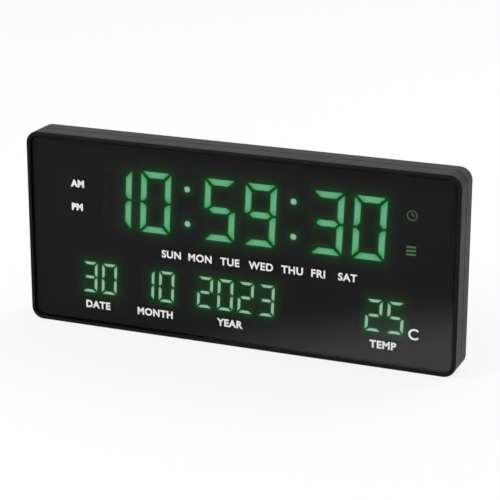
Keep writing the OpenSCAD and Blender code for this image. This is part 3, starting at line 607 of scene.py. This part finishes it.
def halo_light(start):
    halo = start.node("ShaderNodeAttribute", {"attribute_name": "halo"}, out="Fac")
    return mixed_colour(start, halo, grey(0.0), HALO_GREEN)


print("halo 1 mm and 5 mm away:", [round(math.exp(-away * MM / HALO_REACH), 2) for away in (1, 5)])

# %% [markdown]
# Lit and dark bars
#
# A light bar is a strip of milky epoxy over a diode. It is palest in its middle, over the diode, and greener
# towards its edges. A number called core is stored on the mesh, 0 along the edges and 1 in the middle, and
# a ramp turns it into the colour of the light. The diodes fill the thin small bars and the dots, so those
# are paler. A bar that is off keeps the dark of the mask and the halo of its neighbours.

# %% Lit and dark bars
RING_HEAT = 0.4
LIT_COLOURS = {
    "large": ((0.03, 0.57, 0.1), (0.1, 0.82, 0.25), (0.36, 1.06, 0.57)),
    "small": ((0.07, 0.67, 0.2), (0.3, 1.03, 0.48), (0.83, 1.28, 0.94)),
    "dot": ((0.12, 0.7, 0.28), (0.42, 0.98, 0.58), (0.85, 1.2, 0.98)),
}


def lit_epoxy(name, edge, ring, core):
    material, start, shader = new_finish(name, {"Base Color": (0.02, 0.05, 0.03, 1), "Roughness": 0.4})
    heat = start.node("ShaderNodeAttribute", {"attribute_name": "core"}, out="Fac")
    milky = noise(start, 2.5, detail=1.0)
    share = heat * (0.85 + 0.3 * milky)
    strongest = max(edge + ring + core)
    colours = ((0.0, edge), (RING_HEAT, ring), (1.0, core))
    stops = [(at, shade(colour, 1 / strongest)) for at, colour in colours]
    ramp = start.node("ShaderNodeValToRGB", {"stops": stops}, {"Fac": share})
    start.feed(shader["Emission Color"], ramp)
    shader["Emission Strength"].default_value = strongest
    return material


def under_halo(name, darkest, palest, cloud_mm, roughness, spread):
    """A dark finish that takes the halo of the lit bars beside it."""
    material, start, shader = new_finish(name, {"Specular IOR Level": 0.5, "Emission Strength": 1.0})
    cloud = noise(start, cloud_mm)
    start.feed(shader["Emission Color"], halo_light(start))
    start.feed(shader["Base Color"], mixed_colour(start, cloud, darkest, palest))
    start.feed(shader["Roughness"], roughness + spread * cloud)
    return material


def dark_epoxy(name, colour):
    cloudy = {"cloud_mm": 2.5, "roughness": 0.45, "spread": 0.1}
    return under_halo(name, shade(colour, 0.8), shade(colour, 1.2), **cloudy)


lit_finishes = {kind: lit_epoxy(f"lit_{kind}", *colours) for kind, colours in LIT_COLOURS.items()}
dark_green = dark_epoxy("dark_green", (0.056, 0.06, 0.056))
finishes["indicator_windows"] = dark_epoxy("dim_green", (0.05, 0.06, 0.053))
print("kinds of lit bar:", ", ".join(lit_finishes))

# %% [markdown]
# Light bars
#
# There are over a hundred bars, all made by one rule: take the flat outline, pull it forward, draw its front
# in for a soft edge, and draw it in once more for the bright middle. Geometry Nodes follow such a rule well.
# The tree takes flat faces at the back of the bars, each marked lit or dark, and gives closed solids.

# %% Steps of a geometry tree


def new_tree(name, inputs):
    """A geometry tree with named inputs. Returns a wire from its input node, and its output socket."""
    tree = bpy.data.node_groups.new(name, "GeometryNodeTree")
    tree.interface.new_socket("Geometry", in_out="INPUT", socket_type="NodeSocketGeometry")
    for label, kind in inputs.items():
        tree.interface.new_socket(label, in_out="INPUT", socket_type=f"NodeSocket{kind}")
    tree.interface.new_socket("Geometry", in_out="OUTPUT", socket_type="NodeSocketGeometry")
    return Wire(tree).node("NodeGroupInput"), tree.nodes.new("NodeGroupOutput").inputs[0]


def pulled(start, mesh, chosen, distance, drawn_in):
    """Chosen faces pulled out by a distance and drawn in to a share. Returns mesh and new fronts."""
    sockets = {"Mesh": mesh, "Selection": chosen, "Offset Scale": distance, "Individual": True}
    out = start.node("GeometryNodeExtrudeMesh", {"mode": "FACES"}, sockets, out="Mesh")
    front = out.also("Top")
    sockets = {"Geometry": out, "Selection": front, "Scale": drawn_in}
    return start.node("GeometryNodeScaleElements", {"domain": "FACE"}, sockets), front


def stored(start, mesh, chosen, name, value, kind="FLOAT", domain="POINT"):
    sockets = {"Geometry": mesh, "Selection": chosen, "Name": name, "Value": value}
    return start.node("GeometryNodeStoreNamedAttribute", {"data_type": kind, "domain": domain}, sockets)


def marked(start, name):
    """True where a mark was stored on the mesh."""
    return start.node("GeometryNodeInputNamedAttribute", {"data_type": "BOOLEAN"}, {"Name": name})


def painted(start, mesh, material, chosen=True):
    sockets = {"Geometry": mesh, "Material": material, "Selection": chosen}
    return start.node("GeometryNodeSetMaterial", sockets=sockets)


def plain_mesh(holder):
    """The mesh that an object's tree or letters come to. The object itself is removed."""
    scene.collection.objects.link(holder)
    depsgraph = bpy.context.evaluated_depsgraph_get()
    mesh = bpy.data.meshes.new_from_object(
        holder.evaluated_get(depsgraph), preserve_all_data_layers=True, depsgraph=depsgraph)
    bpy.data.objects.remove(holder)
    return mesh


def grown(name, flat, tree, values):
    """The tree run once on a starting mesh, with its named inputs."""
    holder = bpy.data.objects.new(name, flat)
    modifier = holder.modifiers.new("tree", "NODES")
    modifier.node_group = tree
    for socket in tree.interface.items_tree:
        if socket.in_out == "INPUT" and socket.name in values:
            modifier[socket.identifier] = values[socket.name]
    mesh = plain_mesh(holder)
    mesh.name = name
    return mesh


print("steps:", ", ".join(step.__name__ for step in (pulled, stored, marked, painted)))

# %% The tree of the light bars
EDGE_DRAWN_IN = 0.95
CORE_DRAWN_IN = 0.55


def light_bar_tree():
    inputs = {"Thickness": "Float", "Edge": "Float", "Lit": "Material", "Dark": "Material"}
    start, end = new_tree("light_bars", inputs)
    thick, edge = start.also("Thickness"), start.also("Edge")
    body, front = pulled(start, start, True, thick - edge, 1.0)
    body, front = pulled(start, body, front, edge, EDGE_DRAWN_IN)
    body = stored(start, body, front, "core", RING_HEAT)
    body, front = pulled(start, body, front, 0.0, CORE_DRAWN_IN)
    body = stored(start, body, front, "core", 1.0)
    back = start.node("GeometryNodeFlipFaces", sockets={"Mesh": start})
    whole = start.node("GeometryNodeJoinGeometry", sockets={"Geometry": [body, back]})
    closed = start.node("GeometryNodeMergeByDistance", sockets={"Geometry": whole, "Distance": SAME_PLACE})
    real = start.node("GeometryNodeRealizeInstances", sockets={"Geometry": closed})
    dark = painted(start, real, start.also("Dark"))
    start.feed(end, painted(start, dark, start.also("Lit"), marked(start, "lit")))
    return start.tree


bar_tree = light_bar_tree()
print("light bar tree:", len(bar_tree.nodes), "nodes")

# %% Grow the bars of every row
BAR_EDGE = 0.25 * MM
BAR_STEP = 1.2 * MM
LIT_KINDS = {"hour_bars": "large", "minute_bars": "large", "second_bars": "large", "colon_dots": "dot"}


def stepped(outline):
    """An outline with more points along its sides, so that a halo can fade along a bar."""
    sides = zip(outline, np.roll(outline, -1, axis=0))
    counted = [(a, b, math.ceil(math.dist(a, b) / BAR_STEP)) for a, b in sides]
    return np.concatenate([np.linspace(a, b, steps, endpoint=False) for a, b, steps in counted])


def flat_bars(name, bars):
    """One flat face for each bar, at the back of the bars and facing the front."""
    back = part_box(name)[1].y
    mesh = bpy.data.meshes.new(name)
    corners, faces = [], []
    for outline, lit in bars:
        points = stepped(outline)
        faces.append(range(len(corners), len(corners) + len(points)))
        corners += [(x, back, z) for x, z in points]
    mesh.from_pydata(corners, [], faces)
    mesh.attributes.new("lit", "BOOLEAN", "FACE").data.foreach_set("value", [lit for outline, lit in bars])
    return mesh


for name, bars in display.items():
    low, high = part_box(name)
    light = lit_finishes[LIT_KINDS.get(name, "small")]
    values = {"Thickness": high.y - low.y, "Edge": BAR_EDGE, "Lit": light, "Dark": dark_green}
    mesh = grown(f"{name}_lit", flat_bars(name, bars), bar_tree, values)
    store_halo(mesh)
    add_piece(f"{name}_lit", mesh, replaces=[name])
    print(name, len(mesh.polygons), "faces")

# %% [markdown]
# Mask film with its glow
#
# The black film behind the lens has a window for every bar, and its print takes the halo of the lit ones. The
# film is laid out again as a fine net of triangles between its edge and its windows, because a halo can only
# fade from point to point of a mesh. The light sensor's window is printed over thinly, so it stays unseen. A
# black line printed on the back of the lens hides the film's cut edge and the gap to the tape, which is foam
# with the speckle of its cells. Film and tape stand a hair behind the lens, because two faces in one plane
# would show as patches.

# %% Outline loops


def turned_left(loop):
    """An outline that runs against the clock."""
    ahead = np.roll(loop, -1, axis=0)
    area = (loop[:, 0] * ahead[:, 1] - ahead[:, 0] * loop[:, 1]).sum()
    return loop if area > 0 else loop[::-1]


def front_loops(name):
    """The closed outlines of a node's front face as lists of X and Z, the longest first."""
    shape = merged(name)
    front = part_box(name)[0].y
    flat = {face for face in shape.faces if all(abs(v.co.y - front) < IN_PLANE for v in face.verts)}
    rim = [e for e in shape.edges if sum(face in flat for face in e.link_faces) == 1]
    following = {}
    for edge in rim:
        first, second = edge.verts
        following.setdefault(first, []).append(second)
        following.setdefault(second, []).append(first)
    loops, seen = [], set()
    for vert in following:
        loop = []
        while vert is not None and vert not in seen:
            seen.add(vert)
            loop.append((vert.co.x, vert.co.z))
            vert = next((other for other in following[vert] if other not in seen), None)
        if loop:
            loops.append(turned_left(np.array(loop)))
    shape.free()
    return sorted(loops, key=lambda loop: -np.ptp(loop[:, 0]))


print("outlines of the mask film:", len(front_loops("mask_film")))

# %% The net
NET_STEP = 1.6 * MM
INSIDE_ONLY = 1
WINDOW_OVERLAP = 0.3 * MM


def net_between(edge, windows):
    """Triangles between an outline and its windows, on a lattice. Only the outline itself owns them."""
    low, high = edge.min(axis=0), edge.max(axis=0)
    xs = np.arange(low[0] + NET_STEP, high[0], NET_STEP)
    zs = np.arange(low[1] + NET_STEP, high[1], NET_STEP)
    lattice = np.stack(np.meshgrid(xs, zs), axis=-1).reshape(-1, 2)
    for loop in [edge, *windows]:
        lattice = lattice[distance_to(lattice, loop) >= NET_STEP / 2]
    corners, faces = [Vector(point) for point in lattice], []
    for loop in [edge, *windows]:
        faces.append(list(range(len(corners), len(corners) + len(loop))))
        corners += [Vector(point) for point in loop]
    points, _, triangles, _, _, owners = delaunay_2d_cdt(corners, [], faces, INSIDE_ONLY, SAME_PLACE)
    kept = [t for t, owner in zip(triangles, owners) if list(owner) == [0]]
    return np.array([p[:] for p in points]), kept


def drawn_in(loop, distance):
    """An outline made smaller by a distance on every side."""
    middle = (loop.min(axis=0) + loop.max(axis=0)) / 2
    return middle + (loop - middle) * (1 - 2 * distance / np.ptp(loop, axis=0))


def is_over(loop, name):
    """True where the middle of a node lies behind a window."""
    middle = middle_of(name).xz
    return all(loop.min(axis=0) < middle) and all(loop.max(axis=0) > middle)


film_edge, *film_windows = front_loops("mask_film")
film_windows = [drawn_in(loop, WINDOW_OVERLAP) for loop in film_windows if not is_over(loop, "light_sensor")]
film_points, film_triangles = net_between(film_edge, film_windows)
print("film:", len(film_windows), "windows,", len(film_triangles), "triangles")

# %% The film and its finish
FILM_AIR = 0.05 * MM
BORDER_AIR = 0.01 * MM
BORDER_LAP = 1.0 * MM
MASK_BLACKS = (grey(0.045), grey(0.06))


def mesh_from(name, shape, material):
    mesh = bpy.data.meshes.new(name)
    shape.to_mesh(mesh)
    shape.free()
    mesh.materials.append(material)
    return mesh


def slab(name, outlines, front, back, material):
    """Flat outlines in X and Z as one closed mesh from one depth to another."""
    shape = bmesh.new()
    for outline in outlines:
        shape.faces.new([shape.verts.new((x, front, z)) for x, z in outline])
    bmesh.ops.remove_doubles(shape, verts=shape.verts, dist=SAME_PLACE)
    thick = bmesh.ops.extrude_face_region(shape, geom=shape.faces[:])
    moved = [v for v in thick["geom"] if isinstance(v, bmesh.types.BMVert)]
    bmesh.ops.translate(shape, verts=moved, vec=(0, back - front, 0))
    bmesh.ops.recalc_face_normals(shape, faces=shape.faces)
    return mesh_from(name, shape, material)


def set_back(name, material):
    """A node's own mesh with its front moved a hair behind the lens."""
    mesh = nodes[name].data.copy()
    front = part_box(name)[0].y + IN_PLANE
    for vert in mesh.vertices:
        if vert.co.y < front:
            vert.co.y += FILM_AIR
    mesh.materials.clear()
    mesh.materials.append(material)
    return mesh


def from_lower_left(loop):
    return np.roll(loop, -loop.sum(axis=1).argmin(), axis=0)


def border_strips():
    """Four strips from the opening of the tape to just over the film's edge."""
    outer = from_lower_left(front_loops("lens_tape")[1])
    inner = from_lower_left(drawn_in(film_edge, BORDER_LAP))
    return [(outer[i - 1], outer[i], inner[i], inner[i - 1]) for i in range(len(outer))]


film_print = under_halo("mask_print", *MASK_BLACKS, cloud_mm=0.3, roughness=0.55, spread=0.2)
film_low, film_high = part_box("mask_film")
film_front = film_low.y + FILM_AIR
film = slab("mask_film_glow", film_points[film_triangles], film_front, film_high.y, film_print)
store_halo(film)
add_piece("mask_film_glow", film, replaces=["mask_film"])
border_front, border_back = film_low.y + BORDER_AIR, film_front - BORDER_AIR
border = slab("lens_border", border_strips(), border_front, border_back, film_print)
add_piece("lens_border", border)
black_tape = speckled("black_tape", *MASK_BLACKS, fleck_mm=0.25, roughness=0.6, shine=0.5)
add_piece("lens_tape_set", set_back("lens_tape", black_tape), replaces=["lens_tape"])
print("film:", len(film.polygons), "faces; border:", len(border.polygons), "faces")

# %% [markdown]
# Smoked lens
#
# The lens is dark acrylic. What is behind it shows through at about a third of its strength, and its face is
# finished against glare, so it mirrors the pale room only faintly. An even Alpha does the first, on both
# faces of the sheet. A painted sheen lies in the lower right corner: there the coat's weight grows, so that
# corner mirrors the pale room more brightly. A trace of wiping varies the roughness.

# %% Smoked lens
SMOKE = 0.4
SHEEN_ACROSS = 0.45
SHEEN_DOWN = 0.75
SHEEN_STARTS, SHEEN_FULL = 0.86, 1.12


def smoked_acrylic():
    values = {"Base Color": (0, 0, 0, 1), "Alpha": SMOKE, "Specular IOR Level": 0.05,
              "IOR": 1.49, "Coat Roughness": 0.12, "Coat IOR": 1.7}
    material, start, shader = new_finish("smoked_lens", values)
    wiped = noise(start, 40.0, detail=3.0, stretch=(0.4, 1, 1))
    start.feed(shader["Roughness"], 0.06 + 0.06 * wiped)
    x, _, z = place_of(start).parts()
    low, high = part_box("front_lens")
    across = (x - low.x) / (high.x - low.x)
    down = (high.z - z) / (high.z - low.z)
    # Painted sheen: the coat's weight rises towards the lower right corner, so only that corner mirrors
    # brightly.
    slope = across * SHEEN_ACROSS + down * SHEEN_DOWN
    soft = {"interpolation_type": "SMOOTHSTEP"}
    painted_sheen = start.node("ShaderNodeMapRange", soft, {0: slope, 1: SHEEN_STARTS, 2: SHEEN_FULL})
    start.feed(shader["Coat Weight"], painted_sheen)
    return material


finishes["front_lens"] = smoked_acrylic()
print("light through the lens:", round((1 - SMOKE) ** 2, 2))

# %% [markdown]
# Printed words
#
# The legends are screen-printed on the lens in white: the halves of the day, the days of the week and what
# each small row shows. A text object is the quickest way to a clean letter. It is thickened for a bold
# stroke, made a mesh, and only then set to its height and place, because a print is thinner than any text.

# %% Letters as meshes
INK_THICKNESS = 0.05 * MM
LETTER_SPACING = 1.1
# Text lies in X and Y. These stand it up to be read from the front or from the rear.
FRONT = Matrix(((1, 0, 0), (0, 0, -1), (0, 1, 0)))
REAR = Matrix(((-1, 0, 0), (0, 0, 1), (0, 1, 0)))


def letters(text, bold):
    """A word as flat solid letters about its own middle, one unit high and one unit thick."""
    curve = bpy.data.curves.new("word", "FONT")
    curve.body = text
    curve.offset = bold
    curve.space_character = LETTER_SPACING
    curve.extrude = 0.5
    mesh = plain_mesh(bpy.data.objects.new("word", curve))
    points = np.array([v.co[:] for v in mesh.vertices])
    low, high = points.min(axis=0), points.max(axis=0)
    points = (points - (low + high) / 2) / (high[1] - low[1], high[1] - low[1], 1)
    points[:, 2] += 0.5
    mesh.vertices.foreach_set("co", points.ravel())
    return mesh


def printed(name, words, height, surface_y, side, ink, bold=0.042):
    """Words as one piece of ink on the front or the rear. Their height, X and Z are in millimetres."""
    shape = bmesh.new()
    for text, x, z in words:
        mesh = letters(text, bold)
        size = Matrix.Diagonal((height * MM, height * MM, INK_THICKNESS))
        place = Matrix.Translation((x * MM, surface_y, z * MM)) @ (side @ size).to_4x4()
        mesh.transform(place)
        shape.from_mesh(mesh)
    bmesh.ops.remove_doubles(shape, verts=shape.verts, dist=SAME_PLACE)
    add_piece(name, mesh_from(name, shape, ink))
    print(name, [text for text, x, z in words])


def screen_ink(name, colour):
    """A matt ink that keeps the marks of the screen's threads."""
    material, start, shader = new_finish(name, {"Specular IOR Level": 0.3})
    threads = noise(start, 0.25)
    start.feed(shader["Base Color"], mixed_colour(start, threads, shade(colour, 0.94), colour))
    start.feed(shader["Roughness"], 0.5 + 0.15 * threads)
    start.feed(shader["Normal"], bumped(start, threads, 0.01))
    return material


print("ink", round(INK_THICKNESS / MM, 3), "mm thick")

# %% Words on the lens
DAY_HALVES = [("AM", -135.0, 119.0), ("PM", -135.6, 99.6)]
DEGREES = [("C", 146.2, 31.0)]
WEEK = {"SUN": -53.7, "MON": -29.1, "TUE": -3.8, "WED": 22.1, "THU": 48.0, "FRI": 69.3, "SAT": 93.0}
ROWS = {"DATE": -119.0, "MONTH": -68.5, "YEAR": -4.0, "TEMP": 122.3}
WEEK_Z = 69.5
ROWS_Z = 19.0
HALF_DAY_HEIGHT = 6.0
WORD_HEIGHT = 6.3
DEGREE_HEIGHT = 9.0
white_ink = screen_ink("white_ink", (0.82, 0.81, 0.81))
pale_ink = screen_ink("pale_ink", (0.74, 0.82, 0.74))
week_words = [(day, x, WEEK_Z) for day, x in WEEK.items()]
row_words = [(row, x, ROWS_Z) for row, x in ROWS.items()]
lens_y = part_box("front_lens")[0].y
printed("half_day_words", DAY_HALVES, HALF_DAY_HEIGHT, lens_y, FRONT, white_ink, bold=0.06)
printed("week_words", week_words, WORD_HEIGHT, lens_y, FRONT, white_ink, bold=0.03)
printed("row_words", row_words, WORD_HEIGHT, lens_y, FRONT, white_ink)
printed("degree_word", DEGREES, DEGREE_HEIGHT, lens_y, FRONT, pale_ink, bold=0.02)

# %% [markdown]
# Indicator signs
#
# At the right are two small signs that are off: a round dial for the alarm and a square of three strokes.
# They lie in the mask's own thickness, on the front of the dark windows. Though off, they carry a painted
# glow of dim green. Both are flat shapes, so each is drawn as outlines and given the film's thickness.

# %% Indicator signs
SIGN_SIDES = 40
DIAL_FILL = 0.96
DIAL_RING = 0.16
HAND_REACH = 0.3
HAND_HALF = 0.09
SHORT_HAND = 0.9
STROKE_FILL = 0.9
STROKE_HALF = 0.18
STROKE_LEVELS = (-0.7, 0.0, 0.7)


def painted_glow_epoxy():
    material, start, shader = new_finish("painted_glow_sign", {"Emission Strength": 1.0, "Roughness": 0.5})
    milky = noise(start, 1.5)
    start.feed(shader["Base Color"], mixed_colour(start, milky, (0.01, 0.03, 0.02), (0.015, 0.04, 0.025)))
    # Painted glow: the signs are off, yet their epoxy emits a dim green.
    start.feed(shader["Emission Color"], mixed_colour(start, milky, (0.15, 0.31, 0.18), (0.24, 0.42, 0.27)))
    return material


def box_corners(middle, across, up):
    """The corners of a small rectangle that reaches so far across and up from its middle."""
    return middle + np.array(((-across, -up), (across, -up), (across, up), (-across, up)))


def ring_strips(middle, outer, inner):
    """A flat ring as short strips, each with four corners."""
    angles = np.linspace(0, 2 * math.pi, SIGN_SIDES + 1)
    round_points = np.stack((np.cos(angles), np.sin(angles)), axis=1)
    pairs = zip(round_points, round_points[1:])
    return [middle + np.array((a * inner, a * outer, b * outer, b * inner))[::-1] for a, b in pairs]


def alarm_dial(middle, radius):
    """A ring and two hands. The short hand starts beside the long one."""
    hand, half = radius * HAND_REACH, radius * HAND_HALF
    short = hand * SHORT_HAND
    long_hand = box_corners(middle + (0, hand), half, hand)
    short_hand = box_corners(middle + (short, 0), short - half, half)
    ring = ring_strips(middle, radius * DIAL_FILL, radius * (DIAL_FILL - DIAL_RING))
    return ring + [long_hand, short_hand]


def three_strokes(middle, half):
    levels = [middle + (0, half * level) for level in STROKE_LEVELS]
    return [box_corners(level, half * STROKE_FILL, half * STROKE_HALF) for level in levels]


SIGNS = {"alarm_sign": alarm_dial, "stroke_sign": three_strokes}
sign_windows = [front_outline(points) for points in solids_of("indicator_windows")]
sign_windows.sort(key=lambda outline: -outline[:, 1].mean())
# The signs' finish carries a painted glow of dim green.
painted_glow_sign = painted_glow_epoxy()
for name, window in zip(SIGNS, sign_windows):
    outlines = SIGNS[name](window.mean(axis=0), np.ptp(window[:, 0]) / 2)
    mesh = slab(name, outlines, film_front, film_high.y, painted_glow_sign)
    add_piece(name, mesh)
    print(name, len(mesh.polygons), "faces")

# %% [markdown]
# Screws
#
# Six screws hold the rear cover and six hold the board. A screw repeats, so a tree makes it once and sets it
# on points: a domed head with a cross recess, and a shank whose radius swells and shrinks round a helix for
# the thread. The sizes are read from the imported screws, and each screw is turned by a seeded angle.

# %% Head and shank of a screw
SCREW_SIDES = 24
HEAD_STEPS, HEAD_RINGS = 3, 5
SHANK_STEPS, SHANK_RINGS = 48, 1
THREAD_PITCH = 1.2 * MM
THREAD_SHARE = 0.18
HEAD_DROP = 0.35


def solid_cylinder(start, radius, depth, steps, rings):
    sockets = {"Vertices": SCREW_SIDES, "Side Segments": steps, "Fill Segments": rings, "Radius": radius,
               "Depth": depth}
    return start.node("GeometryNodeMeshCylinder", {"fill_type": "TRIANGLE_FAN"}, sockets)


def shifted(start, mesh, x, y, z):
    offset = start.node("ShaderNodeCombineXYZ", sockets={"X": x, "Y": y, "Z": z})
    return start.node("GeometryNodeSetPosition", sockets={"Geometry": mesh, "Offset": offset})


def domed_head(start, radius, height):
    """A disc whose upper side falls away from its middle, standing on the plane of the seat."""
    disc = solid_cylinder(start, radius, height, HEAD_STEPS, HEAD_RINGS)
    x, y, z = start.node("GeometryNodeInputPosition").parts()
    out = (x * x + y * y) / (radius * radius)
    share = start.sum("MAXIMUM", z / height + 0.5, 0.0)
    return shifted(start, disc, 0.0, 0.0, height * 0.5 - out * out * share * height * HEAD_DROP)


def threaded_shank(start, radius, length):
    """A rod under the seat whose surface winds in and out as a thread, up to the screw's own radius."""
    rod = solid_cylinder(start, radius, length, SHANK_STEPS, SHANK_RINGS)
    x, y, z = start.node("GeometryNodeInputPosition").parts()
    angle = start.sum("ARCTAN2", y, x)
    wave = start.node("ShaderNodeMath", {"operation": "SINE"}, {0: z * (2 * math.pi / THREAD_PITCH) - angle})
    dip = (wave - 1.0) * (THREAD_SHARE / 2)
    return shifted(start, rod, x * dip, y * dip, length * -0.5)


print("turns of thread on 6 mm:", round(6 * MM / THREAD_PITCH))

# %% The tree of the screws
RECESS_SHARE = 0.55
TURN_SEED = 7


def cross_tool(start, radius, height, width):
    """Two crossed blades that cut the recess."""
    blades = []
    for sizes in ({"X": radius * 2.0, "Y": width}, {"X": width, "Y": radius * 2.0}):
        size = start.node("ShaderNodeCombineXYZ", sockets={**sizes, "Z": height})
        blade = start.node("GeometryNodeMeshCube", sockets={"Size": size})
        blades.append(shifted(start, blade, 0.0, 0.0, height))
    return blades


def screw_tree():
    inputs = {"Head radius": "Float", "Head height": "Float", "Shank radius": "Float", "Length": "Float",
              "Recess width": "Float", "Metal": "Material"}
    start, end = new_tree("screws", inputs)
    radius, height = start.also("Head radius"), start.also("Head height")
    tools = cross_tool(start, radius * RECESS_SHARE, height, start.also("Recess width"))
    cut = {"Mesh 1": domed_head(start, radius, height), "Mesh 2": tools}
    head = start.node("GeometryNodeMeshBoolean", {"operation": "DIFFERENCE", "solver": "EXACT"}, cut)
    shank = threaded_shank(start, start.also("Shank radius"), start.also("Length"))
    screw = start.node("GeometryNodeJoinGeometry", sockets={"Geometry": [head, shank]})
    to_rear = (-math.pi / 2, 0.0, 0.0)
    sockets = {"Points": start, "Instance": screw, "Rotation": to_rear}
    set_in = start.node("GeometryNodeInstanceOnPoints", sockets=sockets)
    sockets = {2: 0.0, 3: math.pi, "Seed": TURN_SEED}
    turn = start.node("FunctionNodeRandomValue", {"data_type": "FLOAT"}, sockets, out=1)
    spin = start.node("ShaderNodeCombineXYZ", sockets={"Z": turn})
    turned = start.node("GeometryNodeRotateInstances", sockets={"Instances": set_in, "Rotation": spin})
    real = start.node("GeometryNodeRealizeInstances", sockets={"Geometry": turned})
    start.feed(end, painted(start, real, start.also("Metal")))
    return start.tree


cut_screws = screw_tree()
print("screw tree:", len(cut_screws.nodes), "nodes")

# %% Set the screws in their seats
CROSS_WIDTH = 0.8 * MM
RIM_SHARE = 0.98


def screw_sizes(points):
    """Head radius, head height and shank radius of a packed screw, with its seat and its length."""
    x, z = (points.min(axis=0) + points.max(axis=0))[[0, 2]] / 2
    out = np.hypot(points[:, 0] - x, points[:, 2] - z)
    head_radius = out.max()
    tip = points[:, 1].min()
    shank_radius = out[points[:, 1] < tip + IN_PLANE].max()
    seat = points[out > head_radius * RIM_SHARE][:, 1].min()
    return head_radius, points[:, 1].max() - seat, shank_radius, seat - tip, (x, seat, z)


SCREWS = {
    "case_screws": ("black_screw", (0.09, 0.09, 0.095)),
    "board_screws": ("bright_screw", (0.66, 0.66, 0.67)),
}
for name, (slot, colour) in SCREWS.items():
    sizes = [screw_sizes(points) for points in solids_of(name)]
    seats = bpy.data.meshes.new(name)
    seats.from_pydata([size[4] for size in sizes], [], [])
    labels = ("Head radius", "Head height", "Shank radius", "Length")
    values = dict(zip(labels, sizes[0]))
    values.update({"Recess width": CROSS_WIDTH, "Metal": plated_metal(slot, colour)})
    mesh = grown(f"{name}_cut", seats, cut_screws, values)
    add_piece(f"{name}_cut", mesh, replaces=[name])
    print(name, len(sizes), "screws,", len(mesh.polygons), "faces")

# %% [markdown]
# Diodes
#
# Behind every bar sits a surface-mounted diode: a white plastic cup filled with clear resin over a
# yellowish chip. There are more than a hundred, so each has only a few faces. The tree draws one in a unit
# box, sets it on points, and stretches it to the size that each point carries.

# %% The tree of the diodes
CUP_DRAWN_IN = 0.72
CUP_DEPTH = 0.25
RESIN_FLOOR = 0.8


def diode_tree():
    start, end = new_tree("diodes", {"Cup": "Material", "Resin": "Material"})
    block = start.node("GeometryNodeMeshCube", sockets={"Size": (1, 1, 1)})
    _, _, facing = start.node("GeometryNodeInputNormal").parts()
    upper = start.sum("GREATER_THAN", facing, 0.5)
    rim, mouth = pulled(start, block, upper, 0.0, CUP_DRAWN_IN)
    cup, floor = pulled(start, rim, mouth, -CUP_DEPTH, RESIN_FLOOR)
    body = stored(start, cup, floor, "resin", True, "BOOLEAN", "FACE")
    size = start.node("GeometryNodeInputNamedAttribute", {"data_type": "FLOAT_VECTOR"}, {"Name": "size"})
    to_front = (math.pi / 2, 0.0, 0.0)
    sockets = {"Points": start, "Instance": body, "Rotation": to_front, "Scale": size}
    placed = start.node("GeometryNodeInstanceOnPoints", sockets=sockets)
    real = start.node("GeometryNodeRealizeInstances", sockets={"Geometry": placed})
    whole = painted(start, real, start.also("Cup"))
    start.feed(end, painted(start, whole, start.also("Resin"), marked(start, "resin")))
    return start.tree


def diode_points():
    """A point in the middle of each packed diode, carrying its length, width and height."""
    boxes = [(points.min(axis=0), points.max(axis=0)) for points in solids_of("diodes")]
    mesh = bpy.data.meshes.new("diodes")
    mesh.from_pydata([(low + high) / 2 for low, high in boxes], [], [])
    sizes = np.array([(high - low)[[0, 2, 1]] for low, high in boxes])
    mesh.attributes.new("size", "FLOAT_VECTOR", "POINT").data.foreach_set("vector", sizes.ravel())
    return mesh


diode_cup = moulded_plastic("diode_cup", (0.78, 0.77, 0.72), 0.4, 0.4, grain_mm=0.2)
diode_resin = moulded_plastic("diode_resin", (0.62, 0.6, 0.2), 0.18, 0.5, grain_mm=0.6, depth_mm=0.004)
mesh = grown("diodes_cupped", diode_points(), diode_tree(), {"Cup": diode_cup, "Resin": diode_resin})
add_piece("diodes_cupped", mesh, replaces=["diodes"])
print("diodes:", len(mesh.polygons), "faces")

# %% [markdown]
# Words by the keys
#
# The four keys sit in a shallow well on the back, so that the clock can hang flat. Each has its plain job
# printed under it on the floor of the well. The print faces the rear, so it is turned about to read from
# behind.

# %% Words by the keys
KEY_WORD_HEIGHT = 2.1
WORD_DROP = 6.1
WELL_DEPTH = 1.5 * MM
grey_ink = screen_ink("grey_ink", grey(0.6))
keys = {button.upper(): middle_of(f"{button}_key") / MM for button in BUTTONS}
key_words = [(word, key.x, key.z - WORD_DROP) for word, key in keys.items()]
printed("key_words", key_words, KEY_WORD_HEIGHT, cad_high.y - WELL_DEPTH, REAR, grey_ink)

# %% [markdown]
# Dress the solids
#
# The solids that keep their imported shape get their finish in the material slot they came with. The rest are
# hidden behind the pieces that stand for them.

# %% Dress the solids
for name, material in finishes.items():
    nodes[name].material_slots[0].material = material
print("dressed", len(finishes), "solids")
